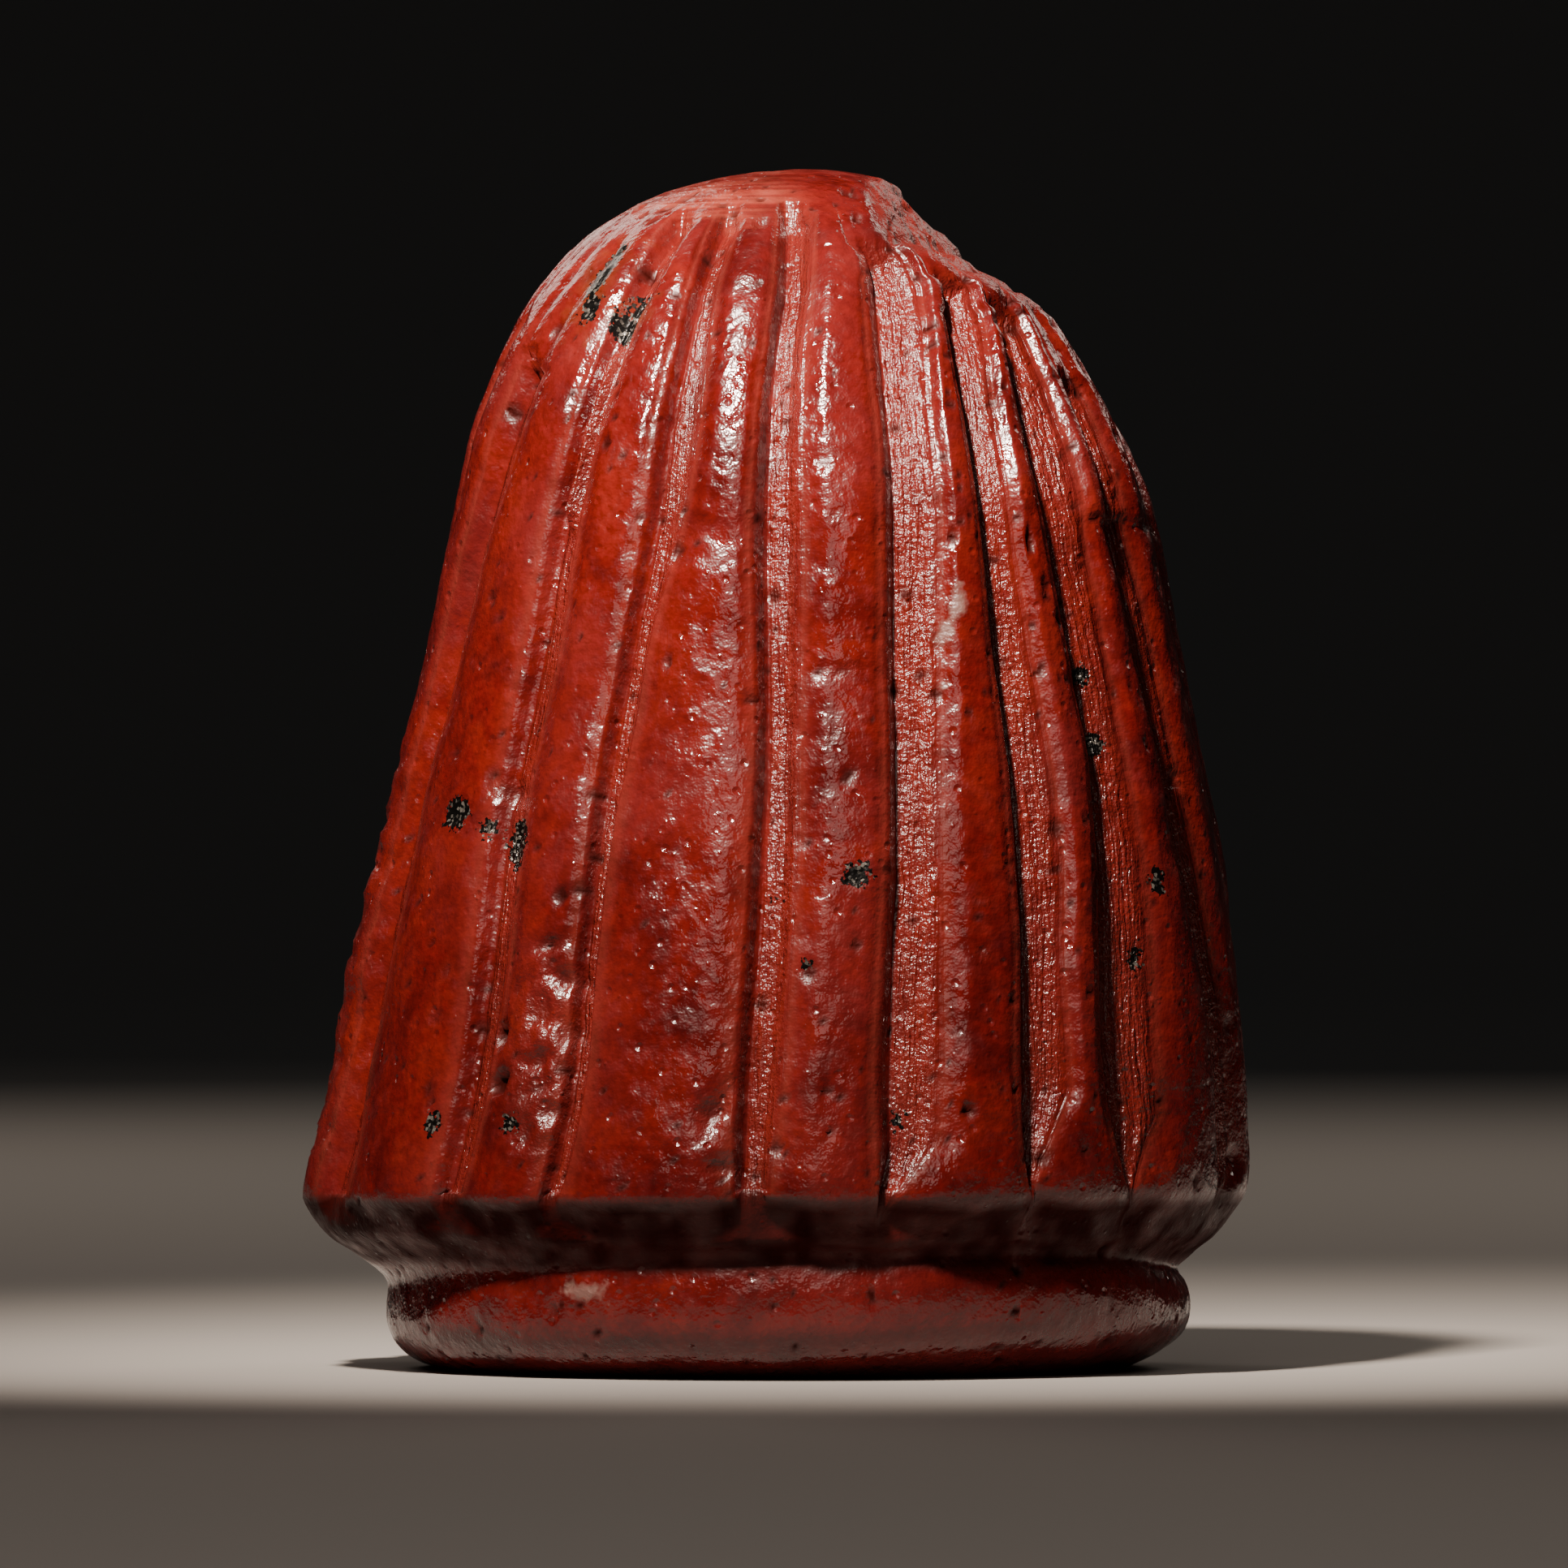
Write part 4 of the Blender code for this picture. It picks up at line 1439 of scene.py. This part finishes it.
        # Painted sheen: a mauve tint in random patches.
        painted_sheen = add_node(
            tree, "MapRange", {"From Min": 0.45, "From Max": 0.7}, {"Value": pattern["painted_sheen"]}
        ).outputs["Result"]
        lined = {}
        for name, lines in (("groove", "scores"), ("handled", "crown_lines")):
            lines = add_node(
                tree,
                "MapRange",
                {"From Min": 0.35, "From Max": 0.65, "To Min": 0.3, "To Max": 1.0},
                {"Value": pattern[lines]},
            ).outputs["Result"]
            lined[name] = add_node(
                tree, "Math", {"operation": "MULTIPLY"}, {0: mask[name], 1: lines}
            ).outputs[0]
        for source, strength, over in (
            # Painted sheen.
            (painted_sheen, 0.35, self.painted_sheen),
            (lined["groove"], 0.35, self.filed),
            (mask["rim"], 0.12, self.worn),
            (lined["handled"], 0.7, self.worn),
            (mask["broken"], 0.15, self.filed),
            # Painted shade in the pits, the chips and under the grip.
            (mask["hollow_shade"], 0.85, self.hollow_shade),
            (mask["rust"], 0.35, self.rust),
            (mask["quartz"], 0.85, self.quartz),
        ):
            share = add_node(
                tree, "Math", {"operation": "MULTIPLY", 1: strength}, {0: source}
            ).outputs[0]
            colour = add_node(
                tree, "Mix", {"data_type": "RGBA", 7: linear(over)}, {0: share, 6: colour}
            ).outputs[2]
        ore = add_node(tree, "ValToRGB", None, {"Fac": pattern["grains"]})
        ore.color_ramp.elements[0].position = 0.72
        ore.color_ramp.elements[0].color = linear(self.iron_dark)
        ore.color_ramp.elements[1].position = 0.97
        ore.color_ramp.elements[1].color = linear(self.iron_light)
        return add_node(
            tree,
            "Mix",
            {"data_type": "RGBA"},
            {0: mask["iron"], 6: colour, 7: ore.outputs["Color"]},
        ).outputs[2]

    def roughness(
        self, tree: bpy.types.NodeTree, pattern: Sockets, mask: Sockets
    ) -> bpy.types.NodeSocket:
        """Roughness: low on the polished lobes, higher in the filed grooves and the breaks.

        Args:
            tree: The node tree.
            pattern: The stone's patterns and tool marks.
            mask: The mesh's masks and the inclusions.

        Returns:
            The roughness.
        """
        value = add_node(
            tree,
            "MapRange",
            {"From Min": 0.35, "From Max": 0.65, "To Min": 0.1, "To Max": 0.3},
            {"Value": pattern["patch"]},
        ).outputs["Result"]
        for source, rough in (
            (mask["groove"], 0.26),
            (mask["handled"], 0.3),
            (mask["broken"], 0.36),
            (mask["hollow_shade"], 0.6),
            (mask["iron"], 0.3),
            (mask["quartz"], 0.42),
            (pattern["glint"], 0.14),
        ):
            value = add_node(
                tree, "Mix", {"data_type": "FLOAT", 3: rough}, {0: source, 2: value}
            ).outputs[0]
        return value

    def relief(
        self, tree: bpy.types.NodeTree, pattern: Sockets, mask: Sockets
    ) -> bpy.types.NodeSocket:
        """Relief too fine for the mesh: polishing waves, pits, scores, grit and glints.

        Args:
            tree: The node tree.
            pattern: The stone's patterns and tool marks.
            mask: The mesh's masks and the inclusions.

        Returns:
            The surface normal.
        """
        cut = mask["groove"]
        worked = add_node(tree, "Math", {"operation": "MAXIMUM"}, {0: cut, 1: mask["broken"]})
        glinting = add_node(
            tree, "Math", {"operation": "MULTIPLY_ADD", 1: 0.6, 2: 0.4}, {0: worked.outputs[0]}
        ).outputs[0]
        total = None
        for height, share, size_mm in (
            (pattern["wave"], None, 0.054),
            (pattern["pits"], None, 0.032),
            (pattern["scores"], cut, 0.085),
            (pattern["chatter"], cut, 0.015),
            (pattern["grit"], worked.outputs[0], 0.045),
            (pattern["glint"], glinting, 0.024),
            (pattern["crown_lines"], mask["handled"], 0.05),
        ):
            if share is not None:
                height = add_node(
                    tree, "Math", {"operation": "MULTIPLY"}, {0: height, 1: share}
                ).outputs[0]
            links = {0: height} if total is None else {0: height, 2: total}
            settings = {"operation": "MULTIPLY_ADD", 1: size_mm, 2: 0.0}
            total = add_node(tree, "Math", settings, links).outputs[0]
        return add_node(
            tree, "Bump", {"Strength": 1.0, "Distance": MM}, {"Height": total}
        ).outputs["Normal"]


@dataclass(frozen=True)
class PaleBacking:
    """Matt paper backing in a warm pale grey, smooth and without shine."""

    name: str = "pale_backing"
    tone: str = "989590"
    rough: float = 0.9

    def build(self) -> bpy.types.Material:
        """Makes the material.

        Returns:
            The material.
        """
        material = bpy.data.materials.new(self.name)
        material.use_nodes = True
        shader = material.node_tree.nodes["Principled BSDF"]
        shader.inputs["Base Color"].default_value = linear(self.tone)
        shader.inputs["Roughness"].default_value = self.rough
        return material


@dataclass(frozen=True)
class Lamp:
    """A square soft lamp that faces the stone.

    azimuth is in degrees from the front towards the right, and elevation in degrees above the
    floor. distance from the stone and size, the side of the square, are in metres. power is in
    watts, and spread is the full angle of the beam in degrees.
    """

    name: str
    azimuth: float
    elevation: float
    distance: float
    size: float
    power: float
    spread: float = 180.0


@dataclass
class Studio:
    """The floor, the lamps and the camera, with sizes in metres."""

    flat_radius: float = 0.6
    rise_radius: float = 0.5
    wall_height: float = 0.9
    floor_steps: int = 96
    bend_steps: int = 12
    camera_distance: float = 0.32
    camera_height: float = 0.01072
    camera_side: float = 0.00013
    lens: float = 400.0
    aim_height: float = 0.0155
    lamp_tone: str = "ffeddf"
    # The small near key lamp gives the narrow highlights along the lobes.
    lamps: tuple[Lamp, ...] = (
        Lamp("key", -21.0, 47.0, 0.09, 0.0088, 0.0155, 34.0),
        Lamp("front", -3.0, 24.0, 0.14, 0.06, 0.018),
        Lamp("back_right", 148.0, 30.0, 0.25, 0.1, 0.09),
        Lamp("back_left", -155.0, 28.0, 0.25, 0.1, 0.09),
    )
    surround_tone: str = "e6e6ea"
    surround_strength: float = 0.045

    def floor(self) -> bpy.types.Object:
        """A round floor that curves up into a wall on every side.

        Returns:
            The floor.
        """
        steps = self.floor_steps
        profile = [(0.05, 0.0), (0.2, 0.0), (self.flat_radius, 0.0)]
        for step in range(1, self.bend_steps + 1):
            turn = math.radians(90.0 * step / self.bend_steps)
            outward = self.flat_radius + self.rise_radius * math.sin(turn)
            profile.append((outward, self.rise_radius * (1.0 - math.cos(turn))))
        profile.append((self.flat_radius + self.rise_radius, self.wall_height))
        vertices = [(0.0, 0.0, 0.0)]
        faces: list[tuple[int, ...]] = []
        for radius, height in profile:
            for step in range(steps):
                turn = 2.0 * math.pi * step / steps
                vertices.append((radius * math.cos(turn), radius * math.sin(turn), height))
        for step in range(steps):
            faces.append((0, 1 + step, 1 + (step + 1) % steps))
        for ring in range(len(profile) - 1):
            start = 1 + ring * steps
            for step in range(steps):
                beside = (step + 1) % steps
                faces.append(
                    (start + step, start + steps + step, start + steps + beside, start + beside)
                )
        mesh = bpy.data.meshes.new("studio_floor")
        mesh.from_pydata(vertices, [], faces)
        mesh.shade_smooth()
        floor = bpy.data.objects.new("studio_floor", mesh)
        bpy.context.scene.collection.objects.link(floor)
        floor.data.materials.append(PaleBacking().build())
        return floor

    def light(self, lamp: Lamp) -> bpy.types.Object:
        """Sets up one lamp.

        Args:
            lamp: Its place, size and power.

        Returns:
            The light.
        """
        data = bpy.data.lights.new(lamp.name, "AREA")
        data.shape = "SQUARE"
        data.size = lamp.size
        data.energy = lamp.power
        data.spread = math.radians(lamp.spread)
        data.color = linear(self.lamp_tone)[:3]
        light = bpy.data.objects.new(lamp.name, data)
        turn, rise = math.radians(lamp.azimuth), math.radians(lamp.elevation)
        level = math.cos(rise)
        away = Vector((math.sin(turn) * level, -math.cos(turn) * level, math.sin(rise)))
        light.location = Vector((0.0, 0.0, self.aim_height)) + away * lamp.distance
        light.rotation_euler = (-away).to_track_quat("-Z", "Y").to_euler()
        bpy.context.scene.collection.objects.link(light)
        return light

    def world(self) -> None:
        """A dim even surround, so that the shaded side keeps its form."""
        world = bpy.data.worlds.new("studio_surround")
        world.use_nodes = True
        background = world.node_tree.nodes["Background"]
        background.inputs["Color"].default_value = linear(self.surround_tone)
        background.inputs["Strength"].default_value = self.surround_strength
        bpy.context.scene.world = world

    def camera(self) -> bpy.types.Object:
        """A long lens, level with the middle of the stone, straight in front of it.

        Returns:
            The camera.
        """
        data = bpy.data.cameras.new("camera")
        data.lens = self.lens
        data.sensor_width = 36.0
        data.clip_start = 0.01
        camera = bpy.data.objects.new("camera", data)
        camera.location = (self.camera_side, -self.camera_distance, self.camera_height)
        camera.rotation_euler = (math.radians(90.0), 0.0, 0.0)
        bpy.context.scene.collection.objects.link(camera)
        bpy.context.scene.camera = camera
        return camera

    def build(self) -> None:
        """Sets up the camera, the floor, the lamps and the surround."""
        self.camera()
        self.floor()
        for lamp in self.lamps:
            self.light(lamp)
        self.world()


def main() -> None:
    """Builds the studio and the stone, and reports each piece."""
    logging.basicConfig(level=logging.INFO, format="%(message)s")
    Studio().build()
    log.info("studio: floor, lights and camera")
    seal = SealStone()
    stone = seal.build()
    stone.data.materials.append(PolishedJasper().build())
    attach(stone, "root")
    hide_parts(seal.node)
    triangles = sum(len(face.vertices) - 2 for face in stone.data.polygons)
    log.info("%s: %d triangles", stone.name, triangles)


if __name__ == "__main__":
    main()
